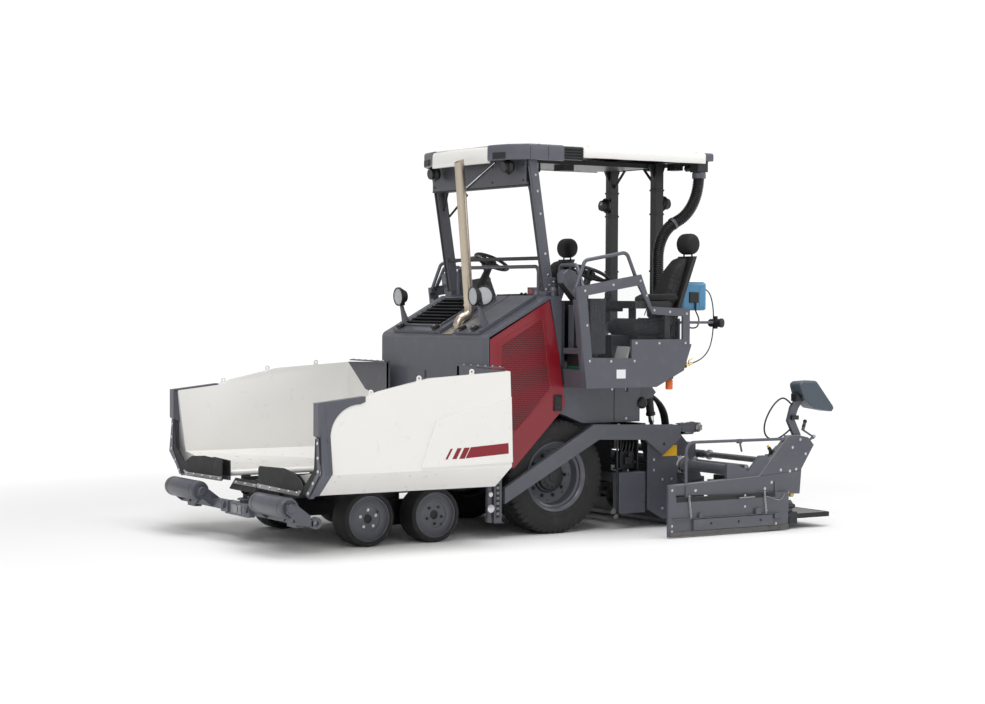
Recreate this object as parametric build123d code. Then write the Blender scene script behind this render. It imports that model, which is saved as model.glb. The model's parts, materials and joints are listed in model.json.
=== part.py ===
import os
from math import atan2, cos, radians, sin, sqrt, tan

from build123d import *

# Wheeled asphalt paver, millimetres. +X is forward (hopper), +Y the machine's left, +Z up.
# It is drawn with the origin on the floor under the rear axle; save() moves every node so
# that the finished machine's origin is the middle of its footprint.

# Overall
rear_reach = 2600
run_gap = 0.3  # gap of a piece that turns or slides against its seat
part_gap = 8  # gap between a panel and the opening it closes

# Rear wheels
rear_tyre_r = 520
rear_tyre_in = 560
rear_tyre_width = 355
rear_tyre_out = rear_tyre_in + rear_tyre_width
axle_z = rear_tyre_r
rear_rim_r = 300
rear_rim_wall = 14
rear_disc_y = rear_tyre_in + 180
rear_hub_r = 135
rear_hub_face = rear_tyre_out - 65
rear_groove_depth = 14
arch_gap = 46
rear_groove_width = 16

# Bogie wheels and their knuckles
bogie_x = {"front": 1940, "rear": 1280}
bogie_r = 240
bogie_band = 48  # rubber on the rim
bogie_rim_r = bogie_r - bogie_band
bogie_in = 675
bogie_width = 250
bogie_out = bogie_in + bogie_width
bogie_disc = bogie_in + 90
bogie_disc_recess = 30
bogie_hub_r = 62
kingpin_y = bogie_in - 75
kingpin_r = 34
lug_top = 355
lug_low = 130
lug_wall = 25

# Chassis
frame_y = 460
frame_wall = 25
frame_rear = -930
frame_front = 2480
frame_low = 400
tunnel_floor = frame_low + 65
tunnel_roof = 900
hopper_sill = tunnel_floor + 60
floor_wall = 25

# Push beam and rollers
beam_x = frame_front + 120
beam_low = 255
beam_high = 335
roller_x = beam_x + 240
roller_z = 400
roller_r = 88
roller_pin_r = 28
roller_in = 575
roller_length = 625
roller_out = roller_in + roller_length
bracket_wall = 24
front_reach = roller_x + roller_r

# Hopper wings
wing_hinge_y = frame_y + 20
wing_hinge_z = 560
wing_barrel_r = 28
wing_wall = 45
flap_wall = 14
flap_seat = frame_front + 160
wing_front = flap_seat + 60

# Bonnet and side doors
bonnet_front = 800
bonnet_rear = -20
bonnet_wall = 20
bonnet_corner = 48
door_wall = 24
door_clear = 6  # between the tyre and the door
bonnet_half = rear_tyre_out + door_clear + door_wall
wing_rear = bonnet_front + 60
door_front = 745
door_low = 620
skirt_y = 500
lid_wall = 30
engine_top = 1600
exhaust_r = 45
lamp_r = 76

# Operator's platform
platform_half = 1300
platform_floor = 1360
panel_wall = 25
deck_wall = 25
seat_y = platform_half - 300
back_top_x = -1090 - 250 / 505 * (2540 - 1935)

# Canopy
post_y = 820
rear_post_x = -1520
rear_post_y = 370
post_half = 45
roof_half = 900
roof_low = 3390
roof_depth = 140
roof_sheet = 40
roof_top = roof_low + roof_depth
roof_skin = roof_top - roof_sheet
visor_low = roof_low - 220
roof_rim = 45
duct_r = 55
canopy_lamp_r = 50
duct_top = (-1705, 788, roof_low - 40)

# Cords
spray_r = 6
cable_r = 8

# Screed and tow arms
tow_x = 660
tow_z = 380
arm_in = bonnet_half + 10
arm_wall = 45
arm_out = arm_in + arm_wall
cheek_in = arm_in - 37
cheek_out = arm_in + 2
cheek_wall = 18
screed_half = arm_in - 95
screed_front = -1360
screed_depth = 380
screed_top = 450
screed_rear = screed_front - screed_depth
screed_low = 12
screed_plate = 34
guide_x = screed_front - 40
guide_z = screed_top + 130
guide_r = 50
guide_wall = 16
rear_guide_x = screed_rear - 40
rear_guide_z = screed_top + 205
rear_guide_r = 28
rear_guide_wall = 10
ext_front = screed_rear - 22
ext_rear = ext_front - 338
ext_in = screed_half + 20
ext_width = 785
carrier_in = ext_in + ext_width
carrier_wall = 30
carrier_out = carrier_in + carrier_wall
gate_wall = 25
gate_in = carrier_out + 5
gate_out = gate_in + gate_wall
gate_edge = gate_out + 25
gate_low = 10
cable_y = carrier_in - 25
lift_y = 750
lift_top = (-1150, 1260)
lift_eye = (-1240, 600)
barrel_r = 38
rod_r = 20

# Augers
auger_x = -1120
auger_z = 275
auger_r = 150
auger_in = 70
auger_length = 780
auger_out = auger_in + auger_length


def box(x, y, z):
    """Block between two values on each axis."""
    size = (x[1] - x[0], y[1] - y[0], z[1] - z[0])
    return Pos(x[0], y[0], z[0]) * Box(*size, align=(Align.MIN, Align.MIN, Align.MIN))


def side_plate(outline, y):
    """Outline of (x, z) points, carried from y[0] to y[1]."""
    wire = Wire.make_polygon([Vector(px, y[0], pz) for px, pz in outline], close=True)
    return Solid.extrude(Face(wire), Vector(0, y[1] - y[0], 0))


def cross_plate(outline, x):
    """Outline of (y, z) points, carried from x[0] to x[1]."""
    wire = Wire.make_polygon([Vector(x[0], py, pz) for py, pz in outline], close=True)
    return Solid.extrude(Face(wire), Vector(x[1] - x[0], 0, 0))


def plan_plate(outline, z):
    """Outline of (x, y) points, carried from z[0] to z[1]."""
    wire = Wire.make_polygon([Vector(px, py, z[0]) for px, py in outline], close=True)
    return Solid.extrude(Face(wire), Vector(0, 0, z[1] - z[0]))


def bar(start, end, radius):
    """Round bar from one point to another."""
    start = Vector(*start)
    run = Vector(*end) - start
    return Solid.make_cylinder(radius, run.length, Plane(origin=start, z_dir=run))


def shaft(x, y, z, radius):
    """Round bar along Y at (x, z)."""
    return bar((x, y[0], z), (x, y[1], z), radius)


def tube(points, radius, bends):
    """Round tube along a path of straight runs and arcs."""
    path = FilletPolyline(*points, radius=bends)
    start = Vector(*points[0])
    section = Plane(origin=start, z_dir=Vector(*points[1]) - start) * Circle(radius)
    return sweep(section, path=path)


def turned(outline, x, z):
    """Closed outline of (radius, y) points, turned about the Y axis at (x, z)."""
    wire = Wire.make_polygon([Vector(x + r, y, z) for r, y in outline], close=True)
    return Solid.revolve(Face(wire), 360, Axis((x, 0, z), (0, 1, 0)))


def over_tyre(x, gap):
    """Height at x, a gap above the rear tyre."""
    return axle_z + sqrt(rear_tyre_r ** 2 - x ** 2) + gap


def fused(*shapes):
    return Part() + list(shapes)


def far(shape):
    """The same piece on the machine's right."""
    return mirror(shape, about=Plane.XZ)


def save(node, *shapes):
    """Write the node's solids, moved to the machine's own origin."""
    shift = Pos((rear_reach - front_reach) / 2, 0, 0)
    solids = [shift * solid for shape in shapes for solid in shape.solids()]
    body = solids[0] if len(solids) == 1 else Compound(children=solids)
    export_step(body, f"parts/{node}.step")


def save_pair(name, shape):
    """Write a left piece and its mirrored right twin."""
    save(f"{name}_left", shape)
    save(f"{name}_right", far(shape))


os.makedirs("parts", exist_ok=True)


# ---- Chassis: side plates round the conveyor tunnel, bogie rockers, brackets

def make_chassis():
    outline = [(frame_rear, frame_low), (frame_front, frame_low), (frame_front, hopper_sill),
               (bonnet_front, hopper_sill), (bonnet_front, tunnel_roof), (frame_rear, tunnel_roof)]
    plate = side_plate(outline, (frame_y - frame_wall, frame_y))
    floor = box((frame_rear, frame_front), (-frame_y, frame_y), (tunnel_floor - floor_wall, tunnel_floor))
    roof = box((frame_rear, bonnet_front), (-frame_y, frame_y), (tunnel_roof - floor_wall, tunnel_roof))
    nose = box((frame_front - 40, frame_front), (-frame_y, frame_y),
               (beam_low - 25, tunnel_floor - floor_wall))
    pieces = [plate, far(plate), floor, roof, nose]
    # rear axle stubs run from the side plates to the hubs
    stub = shaft(0, (frame_y - frame_wall, rear_disc_y - 100 - run_gap), axle_z, 105)
    pieces += [stub, far(stub)]
    # push beam's pivot plates
    for low in (beam_low - 25, beam_low + 115):
        pieces.append(box((frame_front - 40, beam_x + 45), (-70, 70), (low, low + 20)))
    # front tow eyes and rear lashing eyes
    for x, y, z, inward in ((frame_front + 45, 300, 420, -60),
                            (frame_rear - 25, frame_y - frame_wall, 600, 45)):
        eye = fused(shaft(x, (y, y + 25), z, 42),
                    box(sorted((x, x + inward)), (y, y + 25), (z - 25, z + 35)))
        eye -= shaft(x, (y - 5, y + 30), z, 22)
        pieces += [eye, far(eye)]
    # rubber guard over the push beam's pivot
    pieces.append(side_plate([(frame_front - 20, tunnel_floor - 25), (frame_front - 20, tunnel_floor),
                              (beam_x + 50, 535), (beam_x + 110, 445), (beam_x + 95, 438),
                              (beam_x + 40, 510)], (-250, 250)))
    # bogie rocker with a pair of lugs at each kingpin
    rear_x, front_x = bogie_x["rear"], bogie_x["front"]
    middle = (rear_x + front_x) / 2
    inside, outside = kingpin_y - 100, kingpin_y - 45
    rocker = [box((rear_x - 60, front_x + 60), (inside, outside), (lug_low, lug_top)),
              shaft(middle, (frame_y - frame_wall, inside), 330, 80),
              box((middle - 200, middle + 200), (frame_y - frame_wall, inside), (300, frame_low + 20))]
    for x in (rear_x, front_x):
        for low in (lug_low, lug_top - lug_wall):
            rocker.append(box((x - 40, x + 40), (outside - 5, kingpin_y), (low, low + lug_wall)))
            rocker.append(Pos(x, kingpin_y, low) * Cylinder(40, lug_wall,
                                                            align=(Align.CENTER, Align.CENTER, Align.MIN)))
    pieces += rocker + [far(piece) for piece in rocker]
    # wing hinge pads
    for x in (wing_rear + 140, 1750, frame_front - 40):
        pad = box((x - 40, x + 40), (frame_y - 5, wing_hinge_y + 20),
                  (tunnel_floor + 5, wing_hinge_z - wing_barrel_r - run_gap))
        pieces += [pad, far(pad)]
    return fused(*pieces)


def make_conveyor():
    """Two slat conveyors lying on the tunnel floor."""
    pieces = []
    for side in (-1, 1):
        for y in (side * 45, side * 400):
            pieces.append(box((frame_rear + 20, frame_front - 60), (y - 15, y + 15),
                              (tunnel_floor, tunnel_floor + 25)))
        ends = sorted((side * 45, side * 400))
        for k in range(16):
            x = frame_rear + 60 + k * (frame_front - frame_rear + 30) / 16
            pieces.append(box((x, x + 30), ends, (tunnel_floor, tunnel_floor + 35)))
    return fused(*pieces)


# ---- Wheels

def make_rear_wheel():
    low, high = rear_tyre_in, rear_tyre_out
    tyre = turned([(rear_rim_r, low + 20), (rear_rim_r + 60, low + 4), (rear_tyre_r - 90, low),
                   (rear_tyre_r - 25, low + 12),
                   (rear_tyre_r, low + 45), (rear_tyre_r, high - 45), (rear_tyre_r - 25, high - 12),
                   (rear_tyre_r - 90, high), (rear_rim_r + 60, high - 4), (rear_rim_r, high - 20)], 0,
                   axle_z)
    for k in (-1, 0, 1):
        y = (low + high) / 2 + k * 85
        tyre -= turned([(rear_tyre_r - rear_groove_depth, y - rear_groove_width / 2),
                        (rear_tyre_r + 5, y - rear_groove_width / 2),
                        (rear_tyre_r + 5, y + rear_groove_width / 2),
                        (rear_tyre_r - rear_groove_depth, y + rear_groove_width / 2)], 0, axle_z)
    inner = rear_rim_r - rear_rim_wall
    rim = fused(
        turned([(inner, low + 20), (rear_rim_r, low + 20), (rear_rim_r, high - 20), (inner, high - 20)], 0,
               axle_z),
        turned([(0, rear_disc_y), (inner + 2, rear_disc_y - 30), (inner + 2, rear_disc_y - 5),
                (0, rear_disc_y + 25)], 0, axle_z),
        turned([(0, rear_disc_y - 100), (rear_hub_r + 20, rear_disc_y - 100),
                (rear_hub_r + 20, rear_disc_y + 40),
                (rear_hub_r, rear_disc_y + 45), (rear_hub_r - 15, rear_hub_face - 12),
                (rear_hub_r - 35, rear_hub_face),
                (0, rear_hub_face)], 0, axle_z))
    return tyre, rim


def make_bogie_wheel(x):
    inner = bogie_rim_r - 20
    face = bogie_out - bogie_disc_recess
    outline = [(0, bogie_disc), (bogie_hub_r, bogie_disc), (bogie_hub_r, face - 30), (inner, face - 30),
               (inner, bogie_in + 15),
               (bogie_rim_r, bogie_in), (bogie_r - 12, bogie_in), (bogie_r, bogie_in + 12),
               (bogie_r, bogie_out - 12),
               (bogie_r - 12, bogie_out), (bogie_rim_r, bogie_out), (bogie_rim_r - 14, face),
               (bogie_hub_r + 25, face),
               (bogie_hub_r + 15, face - 14), (0, face - 14)]
    return turned(outline, x, bogie_r)


def make_knuckle(x):
    low, high = lug_low + lug_wall + run_gap, lug_top - lug_wall - run_gap
    pin = Pos(x, kingpin_y, low) * Cylinder(kingpin_r, high - low,
                                            align=(Align.CENTER, Align.CENTER, Align.MIN))
    return fused(pin, shaft(x, (kingpin_y, bogie_disc - run_gap), bogie_r, 32),
                 shaft(x, (kingpin_y + 20, bogie_in - 7), bogie_r, 52))


# ---- Push beam and rollers

def make_push_beam():
    ends = roller_out + 10 + bracket_wall
    rear, front = beam_x + 68, beam_x + 140
    pieces = [box((rear, front), (-ends, ends), (beam_low, beam_high)),
              box((beam_x, beam_x + 70), (-42, 42), (beam_low - 3, beam_high + 33)),
              Pos(beam_x, 0, beam_low - 5 + run_gap) * Cylinder(58, 120 - 2 * run_gap,
                                                                align=(Align.CENTER, Align.CENTER,
                                                                       Align.MIN)),
              box((beam_x + 90, beam_x + 160), (-230, 230), (beam_low - 25, beam_high + 10))]
    bracket = [(rear, beam_low), (front, beam_low), (roller_x + 45, roller_z - 35),
               (roller_x + 45, roller_z + 35), (roller_x - 40, roller_z + 35), (rear, beam_high)]
    for y in ((roller_in - 10 - bracket_wall, roller_in - 10),
              (roller_out + 10, roller_out + 10 + bracket_wall)):
        plate = side_plate(bracket, y)
        pieces += [plate, far(plate)]
    return fused(*pieces)


def make_push_roller():
    pin = shaft(roller_x, (roller_in - 10 + run_gap, roller_out + 10 - run_gap), roller_z, roller_pin_r)
    return fused(shaft(roller_x, (roller_in, roller_out), roller_z, roller_r), pin)


# ---- Hopper wing (left): floor, leaning wall, rear plate; its ear and flap

wing_edge = [(wing_rear + 20, 480), (flap_seat, 480), (flap_seat, 690), (wing_front, 1265), (2290, 1310),
             (2130, 1360),
             (1660, 1460), (wing_rear - 8, 1510)]


def make_wing(plate_x=wing_rear + 2):
    """Floor and leaning wall; the two rear plates lie side by side so that they pass each other."""
    section = [(wing_hinge_y, wing_hinge_z - 20), (1250, 500), (1510, 690), (1455, 1520),
               (1455 - wing_wall, 1520),
               (1355, 700), (wing_hinge_y, wing_hinge_z + 26)]
    body = cross_plate(section, (wing_rear, wing_front)) & side_plate(wing_edge, (400, 1560))
    rear_plate = cross_plate([(1365, 690), (1412, 1510), (600, 1530), (585, 600), (1000, 580)],
                             (plate_x, plate_x + 14))
    barrel = bar((wing_rear + 20, wing_hinge_y, wing_hinge_z), (flap_seat, wing_hinge_y, wing_hinge_z),
                 wing_barrel_r)
    step = side_plate([(1780, 712), (1620, 1100), (862, 1290), (870, 728)], (1430, 1540))
    step &= cross_plate([(1500, 690), (1522, 690), (1467, 1520), (1440, 1520)], (wing_rear, wing_front))
    return fused(body, rear_plate, barrel, step)


def make_ear():
    """Steel ear on the front edge, its cap along the top and the strip that closes the corner."""
    plate = side_plate([(2690, 1275), (2740, 1275), (2740, 1010), (2705, 985), (2650, 985)], (1415, 1500))
    cap = side_plate([(2740, 1275), (2290, 1324), (2290, 1300), (2690, 1255)], (1400, 1478))
    strip = cross_plate([(1440, 1040), (1500, 1040), (1570, 690), (1290, 480), (1240, 500), (1500, 700)],
                        (flap_seat + 30, flap_seat + 75))
    seat = cross_plate([(1450, 1000), (1490, 1000), (1530, 700), (1290, 500), (1270, 520), (1490, 700)],
                       (flap_seat - 20, flap_seat + 35))
    return fused(plate, cap, strip, seat) - make_wing() - make_flap()


def make_flap():
    outline = [(290, 505), (290, 680), (700, 690), (1000, 650), (1130, 570), (1050, 490)]
    return cross_plate(outline, (flap_seat, flap_seat + flap_wall))


# ---- Bonnet shell, lids, side doors, engine, exhaust

door_outline = [(door_front, 1770), (112, 2120), (10, 1670), (-68, 1170), (-30, 1120), (480, door_low),
                (door_front, door_low)]
bonnet_top = [(bonnet_front, 1765), (bonnet_front - 40, 1808), (112, 2160), (bonnet_rear, 2160)]
bonnet_low = [(bonnet_rear, over_tyre(20, arch_gap + 16)), (60, over_tyre(60, arch_gap + 13)),
              (300, over_tyre(300, arch_gap + 30)), (500, 800), (565, door_low),
              (bonnet_front, door_low)]


def make_bonnet():
    shell = side_plate(bonnet_top + bonnet_low, (-bonnet_half, bonnet_half))
    corners = shell.edges().filter_by(Axis.Z).group_by(Axis.X)[-1]
    shell = fillet(corners, bonnet_corner)
    t = bonnet_wall
    room = [(bonnet_front - t, 1750), (bonnet_front - 50, 1780), (112, 2160 - t - 2),
            (bonnet_rear + t, 2160 - t - 2),
            (bonnet_rear + t, 1000), (60, 990), (300, 900), (460, 740), (520, 500), (bonnet_front - t, 500)]
    shell -= side_plate(room, (-bonnet_half + 60, bonnet_half - 60))
    # the doors lie in recesses and uncover openings
    recess = [(door_front + part_gap, 1790), (door_front + part_gap, 500), (470, 500), (-90, 1090),
              (-90, 1180),
              (104, 2134)]
    inner = [(690, 1730), (180, 2020), (90, 1650), (30, 1200), (480, 730), (690, 730)]
    shell -= side_plate(recess, (bonnet_half - 44, bonnet_half + 10))
    shell -= side_plate(recess, (-bonnet_half - 10, -bonnet_half + 44))
    shell -= side_plate(inner, (-bonnet_half - 10, bonnet_half + 10))
    # the conveyor passes under the front wall
    shell -= box((0, bonnet_front + 10), (-skirt_y, skirt_y), (500, tunnel_roof + 10))
    # hatches under the lids
    for y in ((-700, 40), (420, 730)):
        shell -= box((220, 680), y, (1700, 2200))
    # rail across the top and the display box beside it
    rail = tube([(70, -700, 2150), (70, -700, 2430), (70, 700, 2430), (70, 700, 2150)], 17, 60)
    display = box((-5, 85), (540, 650), (2155, 2240))
    return fused(shell - make_exhaust(exhaust_r + part_gap), rail, display)


lid_hinge = (150, 2166)
lid_slope = atan2(2160 - 1808, bonnet_front - 40 - 112)


def make_lid(y, low=run_gap, slats=0):
    """Lid plate on the sloping top, lying a hair above it, with louvre slats across its middle."""
    run = 690
    start = (lid_hinge[0], 2160 - (lid_hinge[0] - 112) * sin(lid_slope) / cos(lid_slope))
    rise = (sin(lid_slope), cos(lid_slope))
    ahead = (cos(lid_slope), -sin(lid_slope))

    def on_lid(along, up):
        return (start[0] + along * ahead[0] + up * rise[0], start[1] + along * ahead[1] + up * rise[1])

    lid = side_plate([on_lid(0, low), on_lid(run, low), on_lid(run, lid_wall), on_lid(0, lid_wall)], y)
    for k in range(slats):
        along = 90 + k * 62
        lid += side_plate([on_lid(along, lid_wall - 5), on_lid(along + 40, lid_wall + 26),
                           on_lid(along + 48, lid_wall + 26),
                           on_lid(along + 14, lid_wall - 5)], (y[0] + 110, y[1] - 130))
    for latch_y in (y[0] + 110, y[1] - 110):
        lid += side_plate([on_lid(run - 70, lid_wall - 5), on_lid(run - 70, lid_wall + 28),
                           on_lid(run - 15, lid_wall + 14),
                           on_lid(run - 15, lid_wall - 5)], (latch_y - 28, latch_y + 28))
    return lid


def make_lamp(y, double=False):
    """Work lamp on a leaning stalk; the left one has a second head that looks to the side."""
    foot, head, z = 655, 745, 2150
    pieces = [bar((foot, y, 1800), (head - 20, y, z - 60), 22),
              bar((foot, y, 1800), (foot + 25, y, 1960), 38),
              bar((head - 48, y, z), (head + 30, y, z), lamp_r),
              bar((head + 25, y, z), (head + 42, y, z), lamp_r - 14)]
    if double:
        pieces += [bar((head - 70, y + 18, z + 8), (head - 45, y + 75, z + 8), lamp_r),
                   bar((head - 47, y + 70, z + 8), (head - 41, y + 84, z + 8), lamp_r - 14)]
    return fused(*pieces) - make_lid((y - 200, y + 200), -400)


def make_door():
    door = side_plate(door_outline, (bonnet_half - door_wall, bonnet_half))
    mesh = [(615, 1715), (190, 1950), (100, 1330), (470, 960), (640, 960)]
    door -= side_plate(mesh, (bonnet_half - 12, bonnet_half + 5))
    latch = box((-30, 60), (bonnet_half, bonnet_half + 14), (1180, 1260))
    return fused(door, latch)


def make_exhaust(radius=exhaust_r):
    """Pipe from the engine: out through the bonnet's top, over an elbow and up, with a slanted end."""
    pipe = tube([(640, 230, engine_top), (640, 230, 1930), (515, 230, 1990), (640, 230, 3440)], radius,
                [60, 60])
    return pipe - side_plate([(560, 3435), (720, 3375), (720, 3500), (560, 3500)], (100, 360))


# ---- Body, platform, canopy

def make_body():
    low = over_tyre(290, arch_gap)
    side = [(bonnet_rear - 5, over_tyre(25, arch_gap + 10)), (-90, over_tyre(90, arch_gap)), (-290, low),
            (-940, low),
            (-940, platform_floor - deck_wall),
            (bonnet_rear - 5, platform_floor - deck_wall)]
    shell = fused(side_plate(side, (45 - bonnet_half, bonnet_half - 45)),
                  box((-930, bonnet_rear - 5), (-frame_y, frame_y), (tunnel_roof, 1110)),
                  box((bonnet_rear - 65, bonnet_rear - 5), (45 - bonnet_half, bonnet_half - 45),
                      (platform_floor - deck_wall, 2120)))
    return shell


def make_stowage():
    case = box((-980, -680), (bonnet_half - 105, bonnet_half), (150, 530))
    return fused(case, box((-860, -740), (frame_y, bonnet_half - 105), (430, 500)))


panel_outline = [(-50, 1360), (-830, 1360), (-1130, 1500), (-1210, 1720), (-1210, 2050), (-770, 2070),
                 (-650, 2360),
                 (60, 2240)]
window_outline = [(-110, 1610), (-550, 1600), (-550, 1770), (-1130, 1770), (-1130, 1980), (-780, 2000),
                  (-620, 2260),
                  (-50, 2165)]


def make_platform():
    rail_y = platform_half - 50
    deck = box((-830, -50), (-platform_half, platform_half), (platform_floor - deck_wall, platform_floor))
    deck -= box((bonnet_rear - 65, 0), (45 - bonnet_half, bonnet_half - 45),
                (platform_floor - 50, platform_floor + 10))
    slope = side_plate([(-830, 1335), (-1145, 1482), (-1232, 1720), (-1210, 1728), (-1122, 1502),
                        (-830, 1360)],
                       (-platform_half, platform_half))
    panel = side_plate(panel_outline, (platform_half - panel_wall, platform_half))
    panel -= side_plate(window_outline, (platform_half - panel_wall - 5, platform_half + 5))
    front = fused(side_plate([(-75, 1350), (-50, 1350), (-32, 1500), (-57, 1500)],
                             (950, platform_half - 5)),
                  side_plate([(-75, 1350), (-50, 1350), (45, 2130), (20, 2130)],
                             (platform_half - 85, platform_half - 5)))
    arm = side_plate([(-1190, 1600), (-1190, 1740), (-1470, 1900), (-1570, 1900), (-1570, 1800),
                      (-1470, 1800)],
                     (rear_post_y - 40, rear_post_y + 40))
    beam = box((-1570, -1470), (-rear_post_y - 40, rear_post_y + 40), (1800, 1900))
    rail = tube([(40, rail_y, 2230), (-60, rail_y, 2480), (-520, rail_y, 2560), (-620, rail_y, 2340)], 17,
                60)
    rail = fused(rail, box((-640, -600), (rail_y - 15, rail_y + 30), (2290, 2345)),
                 box((20, 60), (rail_y - 15, rail_y + 30), (2190, 2235)))
    front_rail = tube([(-55, 860, 2120), (-55, 860, 2440), (-40, rail_y - 100, 2440),
                       (-22, platform_half - 13, 2225)], 17, 50)
    pieces = [deck, slope, beam]
    for piece in (panel, front, arm, rail, front_rail):
        pieces += [piece, far(piece)]
    return fused(*pieces)


def make_window():
    return side_plate(window_outline, (platform_half - 17, platform_half - 11))


def make_console():
    """Dash, and at each station a hooded instrument box and a steering column."""
    pieces = [box((-240, -90), (-560, 560), (platform_floor, 2060))]
    hood = side_plate([(-95, platform_floor), (-95, 2120), (40, 2270), (50, 2360), (-10, 2400), (-80, 2385),
                       (-235, 2200),
                       (-235, platform_floor)], (seat_y - 35, seat_y + 60))
    pieces += [hood, far(hood)]
    wheel_y = seat_y - 80
    for y, head in ((wheel_y, (-350, wheel_y, 2370)), (-wheel_y, (-450, -wheel_y, 2500))):
        pieces += [bar((-200, y, platform_floor), (-200, y, 2100), 50), bar((-200, y, 2080), head, 30)]
        tilt = Plane(origin=head, z_dir=Vector(*head) - Vector(-200, y, 2000))
        pieces.append(tilt * Torus(170, 14))
        pieces.append(tilt * Box(340, 26, 18))
    return fused(*pieces)


def make_seat_frame():
    pedestal = box((-1060, -700), (seat_y - 170, seat_y + 170), (platform_floor + 130, 1800))
    foot = box((-825, -705), (seat_y - 130, seat_y + 130), (platform_floor, platform_floor + 140))
    arm = box((-1000, -600), (seat_y - 290, seat_y - 235), (2050, 2120))
    rest = box((-1000, -600), (seat_y + 235, seat_y + 275), (2050, 2120))
    post = box((-1000, -940), (seat_y - 290, seat_y + 275), (1760, 1800))
    ends = [box((-1000, -940), y, (1760, 2060)) for y in ((seat_y - 290, seat_y - 250),
                                                          (seat_y + 240, seat_y + 275))]
    shell = side_plate([(-1055, 1700), (-1100, 1700), (-1132, 1935), (back_top_x - 42, 2540),
                        (back_top_x - run_gap, 2540),
                        (-1090 - run_gap, 1935), (-1060, 1790)], (seat_y - 200, seat_y + 200))
    shell &= make_back_taper(20)
    stems = [bar((back_top_x - 25, y, 2500), (back_top_x - 25, y, 2610 - run_gap), 8) for y in (seat_y - 60,
                                                                                                seat_y + 60)]
    return fused(pedestal, foot, arm, rest, post, shell, *ends, *stems)


def make_back_taper(less=0):
    """Front view of a seat's back, narrowing upwards."""
    low, high = 220 - less, 135 - less
    return cross_plate([(seat_y - low, 1690), (seat_y + low, 1690), (seat_y + low, 1990),
                        (seat_y + high, 2560),
                        (seat_y - high, 2560), (seat_y - low, 1990)], (-1600, -900))


def make_seat_pads():
    """Cushion, back and headrest of one seat, as plain closed forms."""
    cushion = side_plate([(-1050, 1800 + run_gap), (-612, 1800 + run_gap), (-590, 1890), (-620, 1960),
                          (-1050, 1925)],
                         (seat_y - 225, seat_y + 225))
    back = side_plate([(-1090, 1935), (-1000, 1935), (-1200, 2420), (-1310, 2545), (back_top_x, 2540)],
                      (seat_y - 220, seat_y + 220)) & make_back_taper()
    head = side_plate([(back_top_x - 80, 2610), (back_top_x + 30, 2610), (back_top_x + 50, 2690),
                       (back_top_x + 20, 2790),
                       (back_top_x - 70, 2815), (back_top_x - 130, 2770), (back_top_x - 130, 2670)],
                      (seat_y - 130, seat_y + 130))
    return [cushion, back, head]


def make_canopy_frame():
    pieces = []
    for side in (-1, 1):
        y = side * post_y
        post = side_plate([(5, 2180), (90, 2180), (275, roof_low - 60), (195, roof_low - 60)],
                          sorted((y - side * 30, y + side * 30)))
        pieces.append(post)
        foot = box((-15, 108), (y - 55, y + 55), (2160, 2200))
        pieces.append(foot)
        y = side * rear_post_y
        pieces.append(box((rear_post_x - post_half, rear_post_x + post_half),
                          (y - post_half, y + post_half), (1900, roof_skin)))
        pieces.append(box((-1680, 240), sorted((side * 760, side * 810)), (roof_skin - 50, roof_skin)))
        # braces in the front corners, work lamps at the roof's front corners and on the rear posts
        y = side * post_y
        pieces.append(cross_plate([(y - side * 25, visor_low + 10), (y - side * 120, visor_low + 10),
                                   (y - side * 25, visor_low - 210)],
                                  (178, 200)))
        pieces.append(box((350, 370), sorted((side * 630, side * 665)), (roof_low - 60, roof_skin)))
        pieces.append(box((200, 370), sorted((side * 630, side * 665)), (roof_skin - 30, roof_skin)))
        pieces.append(bar((365, side * 648, roof_low - 60), (430, side * 648, roof_low - 68),
                          canopy_lamp_r))
    for y, x, ahead in ((rear_post_y, rear_post_x - 30, -1), (-rear_post_y, rear_post_x + 30, 1)):
        z = roof_low - 330
        pieces.append(bar((x, y, z - 70), (x + ahead * 60, y, z - 30), 12))
        pieces.append(bar((x + ahead * 45, y, z), (x + ahead * 105, y, z + 6), canopy_lamp_r))
    pieces.append(box((170, 290), (-post_y, post_y), (visor_low, roof_skin)))
    pieces.append(box((112, 132), (-post_y + 20, post_y - 20), (2490, 2520)))
    pieces.append(box((-1450, 100), (-350, 350), (roof_low + 10, roof_skin - 45)))
    pieces.append(box((duct_top[0] - 60, duct_top[0] + 60), (duct_top[1] - 62, duct_top[1] + 62),
                      (duct_top[2], roof_skin)))
    for x in (-500, rear_post_x):
        pieces.append(box((x - 40, x + 40), (-790, 790), (roof_skin - 50, roof_skin)))
    return fused(*pieces)


def make_canopy_roof():
    outline = [(510, 490), (450, 720), (300, roof_half), (-1790, roof_half), (-1815, 870)]
    plan = outline + [(x, -y) for x, y in reversed(outline)]
    room = offset(Face(Wire.make_polygon([Vector(x, y, roof_low) for x, y in plan], close=True)), -roof_rim)
    return plan_plate(plan, (roof_low, roof_top)) - Solid.extrude(room.faces()[0],
                                                                  Vector(0, 0, roof_skin - roof_low))


def make_duct():
    x, y, z = duct_top
    return tube([duct_top, (x, y, z - 180), (-1590, 755, 2930), (-1400, 700, 2830), (-1290, 700, 2640),
                 (-1290, 700, 1560)],
                duct_r, [200, 200, 200, 200])


spray_route = [(-1730, 860, 2235), (-1774, 862, 2218), (-1800, 882, 2136), (-1790, 920, 2020),
               (-1745, 975, 1890),
               (-1680, 1040, 1770), (-1590, 1110, 1670), (-1470, 1180, 1600), (-1345, 1235, 1560),
               (-1240, 1268, 1540)]
cable_route = [(-2152, 1160), (-2100, 1205), (-2035, 1230), (-1950, 1182), (-1880, 1100), (-1830, 1010),
               (-1818, 925),
               (-1850, 865), (-1920, 838), (-1998, 850), (-2075, 888), (-2138, 930)]


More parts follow.
